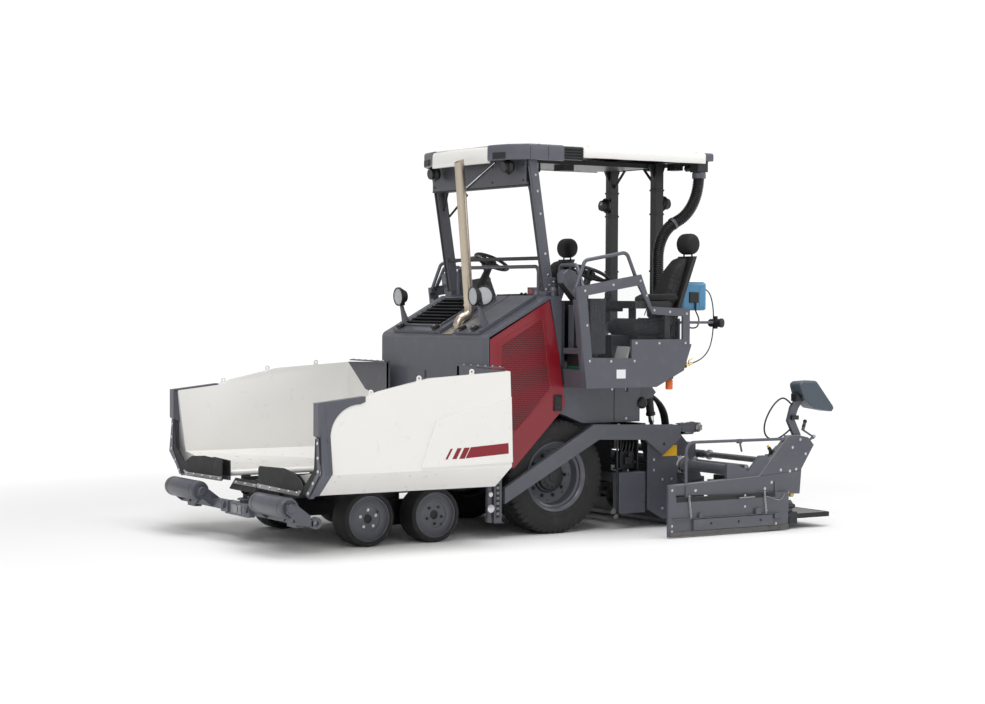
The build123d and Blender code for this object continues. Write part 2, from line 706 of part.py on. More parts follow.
def make_cord(route, radius):
    """Hanging cord: an arc at each point, as large as its two runs allow."""
    points = [Vector(*point) for point in route]
    bends = []
    for before, here, after in zip(points, points[1:], points[2:]):
        turn = radians((here - before).get_angle(after - here))
        shorter = min((here - before).length, (after - here).length)
        bends.append(0.45 * shorter / tan(turn / 2))
    print("cord radii", [round(bend) for bend in bends])
    return tube(route, radius, bends)


def make_spray_gun():
    """Lance held against the platform's rear lower edge."""
    end = Vector(*spray_route[-1])
    ahead = (end - Vector(*spray_route[-2])).normalized()
    grip = bar(tuple(end), tuple(end + ahead * 70), 15)
    return fused(grip, box((-1200, -1150), (platform_half - 45, platform_half - 25),
                           (1500, 1560))) - make_platform()


def make_tool_box():
    case = box((-1730, -1420), (700, 900), (2030, 2300))
    return fused(case, box((-1560, -1500), (rear_post_y + 45, 700), (2060, 2120)))


# ---- Tow columns, tow arms, lift cylinders

def make_tow_columns():
    outer = cheek_out + 28
    middle = cheek_in + 22
    pieces = [box((tow_x - 20, tow_x + 50), (cheek_in - cheek_wall, cheek_in), (150, 600)),
              box((tow_x - 20, tow_x + 50), (cheek_out, outer), (150, 600)),
              box((tow_x + 42, tow_x + 58), (cheek_in - cheek_wall, outer), (150, 600)),
              box((tow_x + 10, tow_x + 58), (frame_y, cheek_in - 10), (500, 580)),
              bar((tow_x + 85, middle, 190), (tow_x + 85, middle, 570), 27)]
    for low in (185, 545):
        pieces.append(box((tow_x + 50, tow_x + 105), (middle - 15, middle + 15), (low, low + 30)))
    column = fused(*pieces)
    return [column, far(column)]


def make_tow_arms():
    outline = [(615, 450), (615, 310), (-410, 850), (-940, 830), (-1140, 680), (-1350, 840), (-1340, 960),
               (-350, 990)]
    plate = side_plate(outline, (arm_in, arm_out))
    tongue_y = (cheek_in + 8, cheek_out - 7)
    tongue = fused(box((560, tow_x), tongue_y, (tow_z - 38, tow_z + 38)),
                   shaft(tow_x, tongue_y, tow_z, 38),
                   box((560, 610), (tongue_y[0], arm_in + 5), (tow_z - 38, tow_z + 38)),
                   shaft(tow_x, (cheek_in + run_gap, cheek_out - run_gap), tow_z, 20))
    boss = box((-1345, -1230), (screed_half + 15, arm_in + 5), (850, 940))
    lug = fused(side_plate([(-1330, 900), (-1330, 962), (-1500, 985), (-1600, 950), (-1600, 905),
                            (-1500, 880)],
                           (arm_in, arm_out)), shaft(-1550, (arm_in - 25, arm_out), 930, 45))
    apron = side_plate([(-985, 840), (-985, 180), (-1170, 80), (-1332, 80), (-1332, 840)],
                       (arm_in, arm_in + 12))
    arm = fused(plate, tongue, boss, lug, apron)
    return [arm, far(arm)]


def make_lift_barrels():
    top, eye = Vector(lift_top[0], lift_y, lift_top[1]), Vector(lift_eye[0], lift_y, lift_eye[1])
    along = (eye - top).normalized()
    low = top + along * 290
    barrel = fused(bar(tuple(top - along * 15), tuple(low), barrel_r),
                   shaft(lift_top[0], (lift_y - 40, lift_y + 40), lift_top[1], 34))
    barrel -= bar(tuple(top + along * 4), tuple(low + along * 5), rod_r + 0.05)
    return [barrel, far(barrel)]


def make_lift_rods():
    top, eye = Vector(lift_top[0], lift_y, lift_top[1]), Vector(lift_eye[0], lift_y, lift_eye[1])
    along = (eye - top).normalized()
    rod = fused(bar(tuple(top + along * 278), tuple(eye), rod_r),
                shaft(lift_eye[0], (lift_y - 24, lift_y + 24), lift_eye[1], 34))
    return [rod, far(rod)]


def make_lift_hangers():
    """Ears on the body that carry the barrels' top pins."""
    pieces = []
    for y in ((lift_y - 62, lift_y - 40 - run_gap), (lift_y + 40 + run_gap, lift_y + 62)):
        ear = side_plate([(-940, 1150), (-940, 1330), (-1150, 1310), (-1195, 1260), (-1150, 1215)], y)
        pieces += [ear, far(ear)]
    return pieces


# ---- Augers

def make_auger_frame():
    beam = box((-1010, -940), (-900, 900), (880, 980))
    pieces = [beam, box((-950, frame_rear), (-frame_y, frame_y), (880, tunnel_roof)),
              box((auger_x - 30, auger_x + 30), (-auger_in + run_gap, auger_in - run_gap),
                  (auger_z - 60, 960)),
              box((auger_x, -1000), (-45, 45), (890, 960))]
    for y in ((auger_out + run_gap, auger_out + 30), (-auger_out - 30, -auger_out - run_gap)):
        pieces.append(side_plate([(-1005, 960), (-1060, 940), (auger_x - 40, 500),
                                  (auger_x - 40, auger_z - 50),
                                  (auger_x + 40, auger_z - 50), (auger_x + 40, 460), (-960, 900)], y))
    return fused(*pieces)


def make_auger():
    """Shaft with flights, each a short turned disc."""
    pieces = [shaft(auger_x, (auger_in, auger_out), auger_z, 38)]
    for k in range(6):
        y = auger_in + 60 + k * 130
        pieces.append(shaft(auger_x, (y, y + 14), auger_z, auger_r))
    return fused(*pieces)


# ---- Screed

def make_screed():
    low = screed_low + screed_plate
    pieces = [box((screed_rear, screed_front), (-screed_half, screed_half), (low, screed_top))]
    end = screed_half - 60
    housing = bar((guide_x, -end, guide_z), (guide_x, end, guide_z), guide_r + guide_wall)
    rear_housing = bar((rear_guide_x, -end, rear_guide_z), (rear_guide_x, end, rear_guide_z),
                       rear_guide_r + rear_guide_wall)
    pieces += [housing, rear_housing]
    for y in (-700, 0, 700):
        pieces.append(box((guide_x - 30, guide_x + 30), (y - 40, y + 40), (screed_top - 5, guide_z)))
        pieces.append(side_plate([(-1640, screed_top - 5), (-1735, screed_top - 5),
                                  (-1760, rear_guide_z + 20),
                                  (rear_guide_x, rear_guide_z + 20), (-1740, rear_guide_z + 20)],
                                  (y - 40, y + 40)))
    cheek = side_plate([(-1330, 500), (-1330, 700), (-1230, 850), (-1230, 940), (-1345, 960), (-1600, 700),
                      (-1700, 430),
                      (-1500, 400)], (screed_half - 20, screed_half + 15))
    ear = side_plate([(-1365, 430), (-1365, 640), (lift_eye[0] - 34, 640), (lift_eye[0] + 34, 600),
                      (lift_eye[0], 560)],
                     (lift_y + 24 + run_gap, lift_y + 50))
    ear_in = side_plate([(-1365, 430), (-1365, 640), (lift_eye[0] - 34, 640), (lift_eye[0] + 34, 600),
                         (lift_eye[0], 560)],
                        (lift_y - 50, lift_y - 24 - run_gap))
    for piece in (cheek, ear, ear_in):
        pieces += [piece, far(piece)]
    # tread plate over the screed
    pieces.append(box((-1700, -1400), (-740, 740), (845, 860)))
    for y in (-600, 0, 600):
        pieces.append(box((-1565, -1535), (y - 30, y + 30), (screed_top - 5, 850)))
    body = fused(*pieces)
    for x, z, r in ((guide_x, guide_z, guide_r), (rear_guide_x, rear_guide_z, rear_guide_r)):
        body -= bar((x, -screed_half - 40, z), (x, screed_half + 40, z), r + 0.1)
    return body


def make_screed_plate():
    return box((screed_rear - 5, screed_front + 5), (-screed_half, screed_half),
               (screed_low, screed_low + screed_plate))


def make_extension():
    low = screed_low + screed_plate
    carrier = [(-700, 465), (-860, 472), (-1720, 510), (-2070, 870), (-2210, 872), (-2310, 852),
               (-2380, 780), (-2230, 560),
               (-2210, 330), (-740, 382)]
    pieces = [box((ext_rear, ext_front), (ext_in, carrier_in + 5), (low, 420)),
              box((ext_rear - 5, ext_front), (ext_in, carrier_in + 5), (screed_low, low)),
              side_plate(carrier, (carrier_in, carrier_out)),
              bar((guide_x, 760, guide_z), (guide_x, carrier_in + 5, guide_z), guide_r),
              bar((rear_guide_x, 760, rear_guide_z), (rear_guide_x, carrier_in + 5, rear_guide_z),
                  rear_guide_r),
              side_plate([(-1345, 480), (-1345, 635), (-1455, 635), (-1600, 560), (-1735, 700),
                          (-1825, 700), (-1825, 480)],
                         (carrier_in - 10, carrier_out - 5)),
              box((5 - rear_reach, ext_rear + 5), (ext_in + 20, carrier_in), (110, 135)),
              box((-2000, -1900), (cable_y - 80, carrier_in + 5), (415, 700)),
              side_plate([(-1900, 415), (-1900, 700), (-2000, 780), (-2180, 780), (-2270, 720),
                          (-2100, 415)],
                         (carrier_in - 65, carrier_in + 5)),
              side_plate([(-2150, 760), (-2170, 870), (-2095, 1010), (-2135, 1140), (-2230, 1250),
                          (-2290, 1215),
                          (-2215, 1120), (-2175, 1020), (-2250, 880), (-2230, 760)],
                          (cable_y - 18, cable_y + 18)),
              side_plate([(-2195, 1340), (-2230, 1372), (-2370, 1378), (-rear_reach, 1120), (-2575, 1090),
                          (-2350, 1130),
                          (-2230, 1235)], (cable_y - 80, cable_y + 80))]
    rail_y, crank_y = carrier_in + 15, carrier_in - 10
    pieces.append(tube([(-880, rail_y, 465), (-880, rail_y, 850), (-2060, rail_y, 845)], 14, 90))
    # crank of the crown setting
    pieces += [bar((-2300, crank_y, 790), (-2410, crank_y, 852), 12),
               bar((-2416, crank_y, 846), (-2270, crank_y, 925), 9),
               bar((-2276, crank_y, 915), (-2300, crank_y, 985), 16)]
    return fused(*pieces)


def make_gate():
    plate = box((-2050, -660), (gate_in, gate_out), (gate_low, 360))
    edge = side_plate([(-920, 60), (-920, 160), (-1840, 160), (-1840, 60)], (gate_out - 5, gate_edge))
    guides = [box((x - 40, x), (carrier_out + run_gap, gate_in + 5), (100, 455)) for x in (-860, -1900)]
    post = box((-732, -652), (gate_in, gate_out), (gate_low, 470))
    return fused(plate, edge, post, *guides)


save("chassis", make_chassis())
save("conveyor", make_conveyor())
rear_tyre, rear_rim = make_rear_wheel()
save_pair("rear_tyre", rear_tyre)
save_pair("rear_rim", rear_rim)
for end, end_x in bogie_x.items():
    save_pair(f"bogie_wheel_{end}", make_bogie_wheel(end_x))
    save_pair(f"knuckle_{end}", make_knuckle(end_x))
save("push_beam", make_push_beam())
save_pair("push_roller", make_push_roller())
save("wing_left", make_wing())
save("wing_right", far(make_wing(wing_rear + 26)))
save_pair("wing_ear", make_ear())
save_pair("wing_flap", make_flap())
save("bonnet", make_bonnet())
save("lid_right", make_lid((-760, 105), slats=8))
save("lid_left", make_lid((360, 790)))
save("lamp_right", make_lamp(-690))
save("lamp_left", make_lamp(710, double=True))
save_pair("side_door", make_door())
save("engine", box((80, 700), (-330, 330), (tunnel_roof, engine_top)))
save("exhaust", make_exhaust())
save("body", fused(make_body(), *make_lift_hangers()))
save("stowage", make_stowage(), far(make_stowage()))
save("platform", make_platform())
save("window", make_window(), far(make_window()))
save("console", make_console())
save("seat_frame", make_seat_frame(), far(make_seat_frame()))
save("seat_pads", *make_seat_pads(), *[far(pad) for pad in make_seat_pads()])
save("canopy_frame", make_canopy_frame())
save("canopy_roof", make_canopy_roof())
save("duct_hose", make_duct())
save("tool_box", make_tool_box())
save("tow_columns", *make_tow_columns())
save("tow_arms", *make_tow_arms())
save("lift_barrels", *make_lift_barrels())
save("lift_rods", *make_lift_rods())
save("auger_frame", make_auger_frame())
save_pair("auger", make_auger())
save("screed", make_screed())
save("screed_plate", make_screed_plate())
save_pair("extension", make_extension())
save_pair("end_gate", make_gate())
save("spray_hose", make_cord(spray_route, spray_r))
save("spray_gun", make_spray_gun())
save_pair("control_cable", make_cord([(x, cable_y, z) for x, z in cable_route], cable_r))
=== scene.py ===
import json
import math

import bmesh
import bpy
import numpy as np
from mathutils import Matrix, Vector

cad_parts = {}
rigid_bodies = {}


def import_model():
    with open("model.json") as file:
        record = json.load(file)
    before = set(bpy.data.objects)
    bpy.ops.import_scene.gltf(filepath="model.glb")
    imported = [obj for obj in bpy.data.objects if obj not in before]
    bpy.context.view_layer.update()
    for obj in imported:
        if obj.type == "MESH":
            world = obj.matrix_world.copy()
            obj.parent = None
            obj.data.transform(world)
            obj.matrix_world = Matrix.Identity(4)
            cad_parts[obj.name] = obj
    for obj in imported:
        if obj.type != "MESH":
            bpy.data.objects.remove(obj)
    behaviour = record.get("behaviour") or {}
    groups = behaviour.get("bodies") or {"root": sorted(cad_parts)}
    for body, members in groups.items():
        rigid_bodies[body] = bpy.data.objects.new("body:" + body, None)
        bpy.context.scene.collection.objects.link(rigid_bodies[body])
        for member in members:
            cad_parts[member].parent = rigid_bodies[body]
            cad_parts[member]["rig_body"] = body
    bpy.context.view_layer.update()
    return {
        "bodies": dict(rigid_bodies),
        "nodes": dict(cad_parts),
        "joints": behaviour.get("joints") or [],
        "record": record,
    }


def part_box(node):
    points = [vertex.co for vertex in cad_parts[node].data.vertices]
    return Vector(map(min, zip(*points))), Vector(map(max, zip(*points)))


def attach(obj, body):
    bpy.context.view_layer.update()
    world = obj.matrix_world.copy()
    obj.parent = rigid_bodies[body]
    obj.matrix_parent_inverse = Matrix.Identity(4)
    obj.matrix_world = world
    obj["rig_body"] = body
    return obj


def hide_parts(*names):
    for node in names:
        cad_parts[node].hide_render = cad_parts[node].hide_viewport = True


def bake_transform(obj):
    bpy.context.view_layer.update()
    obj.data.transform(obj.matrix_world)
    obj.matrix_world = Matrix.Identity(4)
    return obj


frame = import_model()
record = frame["record"]
nodes = frame["nodes"]
print("frame loaded:", len(nodes), "nodes")

# Pieces are placed in the machine's drawing frame, which has its origin under the rear axle;
# shiftX takes them to the row frame.
shiftX = 0.52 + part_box("rear_tyre_left")[0][0]
sides = {"left": 1, "right": -1}


# mesh helpers

def roundEdges(piece, width, angle):
    # bevel on the edges that turn by more than the angle
    rounded = piece.modifiers.new("edges", "BEVEL")
    rounded.width, rounded.segments = width, 2
    rounded.limit_method, rounded.angle_limit = "ANGLE", math.radians(angle)
    return rounded


def makeMesh(name, points, faces, material, body, smooth=True, bevel=0.0, angle=35):
    # mesh from arrays of points and faces, drawn from the rear axle, riding on a body
    mesh = bpy.data.meshes.new(name)
    points = np.asarray(points, dtype=float).reshape(-1, 3).copy()
    points[:, 0] += shiftX
    mesh.from_pydata([tuple(p) for p in points], [], [tuple(int(i) for i in f) for f in faces])
    mesh.validate()
    cleaned = bmesh.new()
    cleaned.from_mesh(mesh)
    bmesh.ops.remove_doubles(cleaned, verts=cleaned.verts, dist=1e-6)
    bmesh.ops.recalc_face_normals(cleaned, faces=cleaned.faces)
    cleaned.to_mesh(mesh)
    cleaned.free()
    piece = bpy.data.objects.new(name, mesh)
    bpy.context.scene.collection.objects.link(piece)
    for each in material if isinstance(material, (list, tuple)) else [material]:
        mesh.materials.append(each)
    if bevel:
        roundEdges(piece, bevel, 35)
    if smooth:
        mesh.shade_smooth()
        mesh.set_sharp_from_angle(angle=math.radians(angle))
    if body:
        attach(piece, body)
    return piece


def joined(*parts):
    # several (points, faces) pairs as one pair
    points, faces, count = [], [], 0
    for p, f in parts:
        p = np.asarray(p, dtype=float).reshape(-1, 3)
        points.append(p)
        faces += [tuple(int(i) + count for i in face) for face in f]
        count += len(p)
    return np.vstack(points), faces


def gridFaces(rows, cols, wrapRows=False, wrapCols=False):
    # quads between the points of a rows x cols grid, closed round where it wraps
    r = np.arange(rows if wrapRows else rows - 1)
    c = np.arange(cols if wrapCols else cols - 1)
    r, c = [a.ravel() for a in np.meshgrid(r, c, indexing="ij")]
    rn, cn = (r + 1) % rows, (c + 1) % cols
    return np.stack([r * cols + c, r * cols + cn, rn * cols + cn, rn * cols + c], axis=1).tolist()


def block(x, y, z):
    # box between two values on each axis
    p = [(a, b, c) for a in sorted(x) for b in sorted(y) for c in sorted(z)]
    f = [(0, 1, 3, 2), (4, 6, 7, 5), (0, 4, 5, 1), (2, 3, 7, 6), (0, 2, 6, 4), (1, 5, 7, 3)]
    return np.array(p), f


def prism(outline, low, high, axis="y"):
    # flat outline carried from low to high along an axis; the outline is given on the two others
    outline = np.asarray(outline, dtype=float)
    n = len(outline)
    rings = []
    for level in (low, high):
        flat = np.full((n, 3), float(level))
        keep = {"x": (1, 2), "y": (0, 2), "z": (0, 1)}[axis]
        flat[:, keep[0]], flat[:, keep[1]] = outline[:, 0], outline[:, 1]
        rings.append(flat)
    faces = [tuple(range(n)), tuple(range(2 * n - 1, n - 1, -1))]
    faces += [(i, n + i, n + (i + 1) % n, (i + 1) % n) for i in range(n)]
    return np.vstack(rings), faces


def frameOf(direction):
    # two unit vectors square to a direction
    d = np.asarray(direction, dtype=float)
    d = d / np.linalg.norm(d)
    seed = np.array([0.0, 0.0, 1.0]) if abs(d[2]) < 0.9 else np.array([1.0, 0.0, 0.0])
    a = np.cross(seed, d)
    a /= np.linalg.norm(a)
    return a, np.cross(d, a), d


def lathe(profile, centre, axis=(0, 1, 0), count=48):
    # profile of (radius, along) points turned about an axis; ends on the axis close it
    profile = np.asarray(profile, dtype=float)
    a, b, d = frameOf(axis)
    t = np.arange(count) * 2 * math.pi / count
    ring = np.cos(t)[:, None] * a + np.sin(t)[:, None] * b
    out, along = profile[:, 0][:, None, None] * ring[None], (profile[:, 1][:, None] * d)[:, None]
    p = np.asarray(centre, dtype=float) + out + along
    return p.reshape(-1, 3), gridFaces(len(profile), count, wrapCols=True)


def closedLathe(profile, centre, axis=(0, 1, 0), count=48):
    # lathe of a profile that returns to its first point
    return lathe(profile + profile[:1], centre, axis, count)


def rod(start, end, radius, count=16, radius2=None):
    # closed round bar between two points
    start, end = np.asarray(start, dtype=float), np.asarray(end, dtype=float)
    span = float(np.linalg.norm(end - start))
    second = radius if radius2 is None else radius2
    return lathe([(0, 0), (radius, 0), (second, span), (0, span)], start, end - start, count)


def pipe(path, radius, count=12):
    # round tube along a path of points; radius may be one number or one for each point
    path = np.asarray(path, dtype=float)
    n = len(path)
    radius = np.broadcast_to(np.asarray(radius, dtype=float), (n,))
    along = np.gradient(path, axis=0)
    along /= np.linalg.norm(along, axis=1)[:, None]
    a, b, d = frameOf(along[0])
    sideA = np.empty_like(path)
    sideA[0] = a
    for i in range(1, n):  # carry the first side vector along without twist
        a = sideA[i - 1] - along[i] * np.dot(sideA[i - 1], along[i])
        sideA[i] = a / np.linalg.norm(a)
    sideB = np.cross(along, sideA)
    t = np.arange(count) * 2 * math.pi / count
    ring = np.cos(t)[None, :, None] * sideA[:, None] + np.sin(t)[None, :, None] * sideB[:, None]
    p = path[:, None] + radius[:, None, None] * ring
    faces = gridFaces(n, count, wrapCols=True)
    ends = np.vstack([p.reshape(-1, 3), path[0], path[-1]])
    first, last = n * count, n * count + 1
    faces += [(first, (i + 1) % count, i) for i in range(count)]
    faces += [(last, (n - 1) * count + i, (n - 1) * count + (i + 1) % count) for i in range(count)]
    return ends, faces


def smoothPath(points, steps=8):
    # points of a smooth curve that passes through the given ones (Catmull-Rom)
    p = np.asarray(points, dtype=float)
    p = np.vstack([2 * p[0] - p[1], p, 2 * p[-1] - p[-2]])
    t = np.linspace(0, 1, steps, endpoint=False)[:, None]
    parts = []
    for i in range(1, len(p) - 2):
        a, b, c, d = p[i - 1], p[i], p[i + 1], p[i + 2]
        square, cube = 2 * a - 5 * b + 4 * c - d, 3 * b - a - 3 * c + d
        parts.append(0.5 * (2 * b + (c - a) * t + square * t ** 2 + cube * t ** 3))
    return np.vstack(parts + [p[-2][None]])


def boltHead(centre, axis, radius=0.009, height=0.006):
    # hexagon head with a washer
    washer = lathe([(0, 0), (radius * 1.45, 0), (radius * 1.45, height * 0.3), (0, height * 0.3)], centre,
                   axis, 14)
    head = lathe([(0, 0), (radius, 0), (radius, height), (radius * 0.8, height * 1.2), (0, height * 1.2)],
                 centre, axis, 6)
    return joined(washer, head)


def bolts(places, axis, radius=0.009, height=0.006):
    # hexagon heads at several places
    return joined(*[boltHead(place, axis, radius, height) for place in places])


def mirrored(shape):
    # the same shape on the machine's right
    points, faces = shape
    points = np.array(points, dtype=float)
    points[:, 1] *= -1
    return points, [tuple(reversed(tuple(f))) for f in faces]


def bothSides(name, shape, material, body, stands=None, **options):
    # a left piece and its right twin, mirrored in the middle plane; body and stands may hold {side}
    made = []
    for side, sign in sides.items():
        made.append(makeMesh(f"{name}_{side}", *(shape if sign > 0 else mirrored(shape)), material,
                             body.format(side=side), **options))
        if stands:
            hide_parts(stands.format(side=side))
    return made


def sideBolts(name, spots, y, material, body, radius=0.009, height=0.006):
    # bolts at (x, z) spots on the outer face at y, and on its twin
    return bothSides(name, bolts([(x, y, z) for x, z in spots], (0, 1, 0), radius, height), material, body)


# materials

def feed(node, inputs):
    # each input gets its value, or a link where the value is another node's output
    for key, value in inputs.items():
        if isinstance(value, bpy.types.NodeSocket):
            node.id_data.links.new(value, node.inputs[key])
        else:
            node.inputs[key].default_value = value


def addNode(tree, kind, inputs, **settings):
    # one shader node with its settings and its inputs
    node = tree.nodes.new("ShaderNode" + kind)
    for key, value in settings.items():
        setattr(node, key, value)
    feed(node, inputs)
    return node


def objectPlace(tree):
    # the material's own Object coordinates
    return next(n for n in tree.nodes if n.type == "TEX_COORD").outputs["Object"]


def newMaterial(name, colour, rough, metal=0.0, mottle=0.06, mottleScale=2.5, grain=0.02, grainScale=220.0,
                roughSpread=0.08, coat=0.0, second=None, secondScale=9.0, secondMix=0.25):
    # paint, rubber or metal: cloudy colour, uneven gloss and a fine grain, all on Object coordinates
    material = bpy.data.materials.new(name)
    material.use_nodes = True
    tree = material.node_tree
    shader = tree.nodes["Principled BSDF"]
    place = addNode(tree, "TexCoord", {}).outputs["Object"]

    def noise(scale, detail=5.0):
        return addNode(tree, "TexNoise", {"Scale": scale, "Detail": detail, "Vector": place}).outputs["Fac"]

    def blend(share, low, high):
        return addNode(tree, "Mix", {0: share, 6: low, 7: high}, data_type="RGBA").outputs[2]

    dark = [c * (1 - mottle) for c in colour]
    light = [min(1.0, c * (1 + mottle)) for c in colour]
    base = blend(noise(mottleScale), (*dark, 1), (*light, 1))
    if second:  # dust, rust or scuffs in patches
        patch = addNode(tree, "MapRange", {"From Min": 0.55, "From Max": 0.75, "To Max": secondMix,
                                           "Value": noise(secondScale, 8.0)})
        base = blend(patch.outputs["Result"], base, (*second, 1))
    gloss = addNode(tree, "MapRange", {"To Min": max(0.02, rough - roughSpread),
                                       "To Max": min(1.0, rough + roughSpread),
                                       "Value": noise(mottleScale * 6)})
    feed(shader, {"Base Color": base, "Roughness": gloss.outputs["Result"], "Metallic": metal})
    if grain:
        bump = addNode(tree, "Bump", {"Strength": min(1.0, grain * 10), "Distance": 0.001,
                                      "Height": noise(grainScale, 2.0)})
        feed(shader, {"Normal": bump.outputs["Normal"]})
    if coat:
        feed(shader, {"Coat Weight": coat, "Coat Roughness": 0.12})
    return material


def glassMaterial(name, tint, alpha):
    # thin clear sheet, seen through
    material = newMaterial(name, tint, 0.06, mottle=0.02, grain=0, roughSpread=0.03)
    feed(material.node_tree.nodes["Principled BSDF"], {"Alpha": alpha})
    material.surface_render_method = "BLENDED"
    return material


def lampMaterial(name, colour):
    # fluted lens: fine ribs across the glass
    material = newMaterial(name, colour, 0.12, mottle=0.04, grain=0, coat=0.6)
    tree = material.node_tree
    wave = addNode(tree, "TexWave", {"Scale": 45.0, "Vector": objectPlace(tree)}, bands_direction="Z")
    bump = addNode(tree, "Bump", {"Strength": 0.6, "Distance": 0.002, "Height": wave.outputs["Fac"]})
    feed(tree.nodes["Principled BSDF"], {"Normal": bump.outputs["Normal"]})
    return material


greyPaint = newMaterial("greyPaint", (0.088, 0.091, 0.112), 0.42, coat=0.25, grain=0.012,
                        second=(0.2, 0.2, 0.2), secondMix=0.14)
darkPaint = newMaterial("darkPaint", (0.012, 0.013, 0.016), 0.45, coat=0.15, grain=0.02,
                        second=(0.045, 0.045, 0.048), secondMix=0.2)
whitePaint = newMaterial("whitePaint", (0.83, 0.82, 0.79), 0.3, coat=0.5, grain=0.008, mottle=0.015,
                         second=(0.7, 0.68, 0.64), secondMix=0.02)
redPaint = newMaterial("redPaint", (0.23, 0.004, 0.014), 0.35, coat=0.4, grain=0.01)
bareSteel = newMaterial("bareSteel", (0.34, 0.34, 0.345), 0.38, metal=0.9, grain=0.03,
                        second=(0.12, 0.1, 0.09), secondMix=0.5)
brightSteel = newMaterial("brightSteel", (0.62, 0.62, 0.63), 0.28, metal=1.0, grain=0.01)
stainless = newMaterial("stainless", (0.58, 0.5, 0.4), 0.3, metal=1.0, grain=0.015, mottle=0.12,
                        second=(0.45, 0.3, 0.17), secondMix=0.4, secondScale=3.0)
rodChrome = newMaterial("rodChrome", (0.7, 0.71, 0.73), 0.12, metal=1.0, grain=0)
castBlock = newMaterial("castBlock", (0.06, 0.06, 0.065), 0.6, metal=0.2, grain=0.05)
tyreRubber = newMaterial("tyreRubber", (0.016, 0.016, 0.017), 0.72, grain=0.05,
                         second=(0.048, 0.045, 0.042), secondMix=0.4)
flapRubber = newMaterial("flapRubber", (0.016, 0.016, 0.017), 0.62, grain=0.04, second=(0.07, 0.068, 0.066),
                         secondMix=0.35)
hoseRubber = newMaterial("hoseRubber", (0.016, 0.016, 0.017), 0.45, grain=0.02)
hosePlastic = newMaterial("hosePlastic", (0.009, 0.009, 0.01), 0.4, grain=0.01)
blackPlastic = newMaterial("blackPlastic", (0.012, 0.012, 0.013), 0.5, grain=0.05, grainScale=500)
bluePlastic = newMaterial("bluePlastic", (0.085, 0.27, 0.46), 0.38, grain=0.01)
orangeLens = lampMaterial("orangeLens", (0.85, 0.16, 0.015))
clearLens = lampMaterial("clearLens", (0.42, 0.43, 0.45))
reflector = newMaterial("reflector", (0.85, 0.85, 0.86), 0.1, metal=1.0, grain=0)
seatCover = newMaterial("seatCover", (0.01, 0.01, 0.011), 0.78, grain=0.1, grainScale=900)
clearSheet = glassMaterial("clearSheet", (0.16, 0.18, 0.2), 0.05)
brass = newMaterial("brass", (0.62, 0.43, 0.14), 0.28, metal=1.0, grain=0.01)
treadPlate = newMaterial("treadPlate", (0.3, 0.29, 0.28), 0.42, metal=0.8, grain=0.03)
slotFinish = {"grey_paint": greyPaint, "dark_paint": darkPaint, "white_paint": whitePaint,
              "red_paint": redPaint, "bare_steel": bareSteel, "stainless": stainless,
              "rod_chrome": rodChrome, "cast_block": castBlock, "tyre_rubber": tyreRubber,
              "flap_rubber": flapRubber, "hose_rubber": hoseRubber, "hose_plastic": hosePlastic,
              "black_plastic": blackPlastic, "blue_plastic": bluePlastic, "orange_lens": orangeLens,
              "seat_cover": seatCover, "clear_sheet": clearSheet, "brass_fitting": brass}
slotOf = {entry["node"]: entry["material_slot"] for entry in record["subparts"]}
for nodeName, node in nodes.items():
    node.data.materials.clear()
    node.data.materials.append(slotFinish[slotOf[nodeName]])
print("materials made")


# camera, floor and light

studio = {"floorReach": 60.0, "fadeFrom": 4.2, "fadeTo": 7.5, "lighting": 0.5, "background": 1.05}
view = {"place": (10.301, 16.044, 2.12), "heading": 147.6, "down": 1.47, "roll": 0.29, "lens": 73.79}


def setCamera():
    # camera from its heading (0 looks along +Y, turning to -X), its tilt down and its roll
    h, p, r = (math.radians(view[k]) for k in ("heading", "down", "roll"))
    ahead = Vector((-math.sin(h) * math.cos(p), math.cos(h) * math.cos(p), -math.sin(p)))
    right = ahead.cross(Vector((0, 0, 1))).normalized()
    up = right.cross(ahead)
    right, up = right * math.cos(r) + up * math.sin(r), up * math.cos(r) - right * math.sin(r)
    data = bpy.data.cameras.new("camera")
    data.lens, data.sensor_width = view["lens"], 36.0
    camera = bpy.data.objects.new("camera", data)
    place = Vector(view["place"]) + Vector((shiftX, 0, 0))
    camera.matrix_world = Matrix.Translation(place) @ Matrix((right, up, -ahead)).transposed().to_4x4()
    bpy.context.scene.collection.objects.link(camera)
    bpy.context.scene.camera = camera


def setFloor():
    # a light floor that turns to plain white away from the machine
    r = studio["floorReach"]
    mesh = bpy.data.meshes.new("floor")
    mesh.from_pydata([(-r, -r, 0), (r, -r, 0), (r, r, 0), (-r, r, 0)], [], [(0, 1, 2, 3)])
    floor = bpy.data.objects.new("floor", mesh)
    mesh.materials.append(newMaterial("floorFinish", (0.93, 0.93, 0.93), 0.9, mottle=0.003, grain=0))
    tree = mesh.materials[0].node_tree
    length = addNode(tree, "VectorMath", {0: objectPlace(tree)}, operation="LENGTH")
    fade = addNode(tree, "MapRange", {"From Min": studio["fadeFrom"], "From Max": studio["fadeTo"],
                                      "Value": length.outputs["Value"]})
    glow = addNode(tree, "Emission", {"Strength": studio["background"]})
    mix = addNode(tree, "MixShader", {"Fac": fade.outputs["Result"], 2: glow.outputs["Emission"],
                                      1: tree.nodes["Principled BSDF"].outputs["BSDF"]})
    feed(next(n for n in tree.nodes if n.type == "OUTPUT_MATERIAL"), {"Surface": mix.outputs["Shader"]})
    bpy.context.scene.collection.objects.link(floor)


def addLight(name, place, target, size, power):
    # round light at a place, aimed at a target
    data = bpy.data.lights.new(name, "AREA")
    data.shape, data.size, data.energy = "DISK", size, power
    light = bpy.data.objects.new(name, data)
    light.location = place
    light.rotation_euler = (Vector(target) - Vector(place)).to_track_quat("-Z", "Y").to_euler()
    bpy.context.scene.collection.objects.link(light)


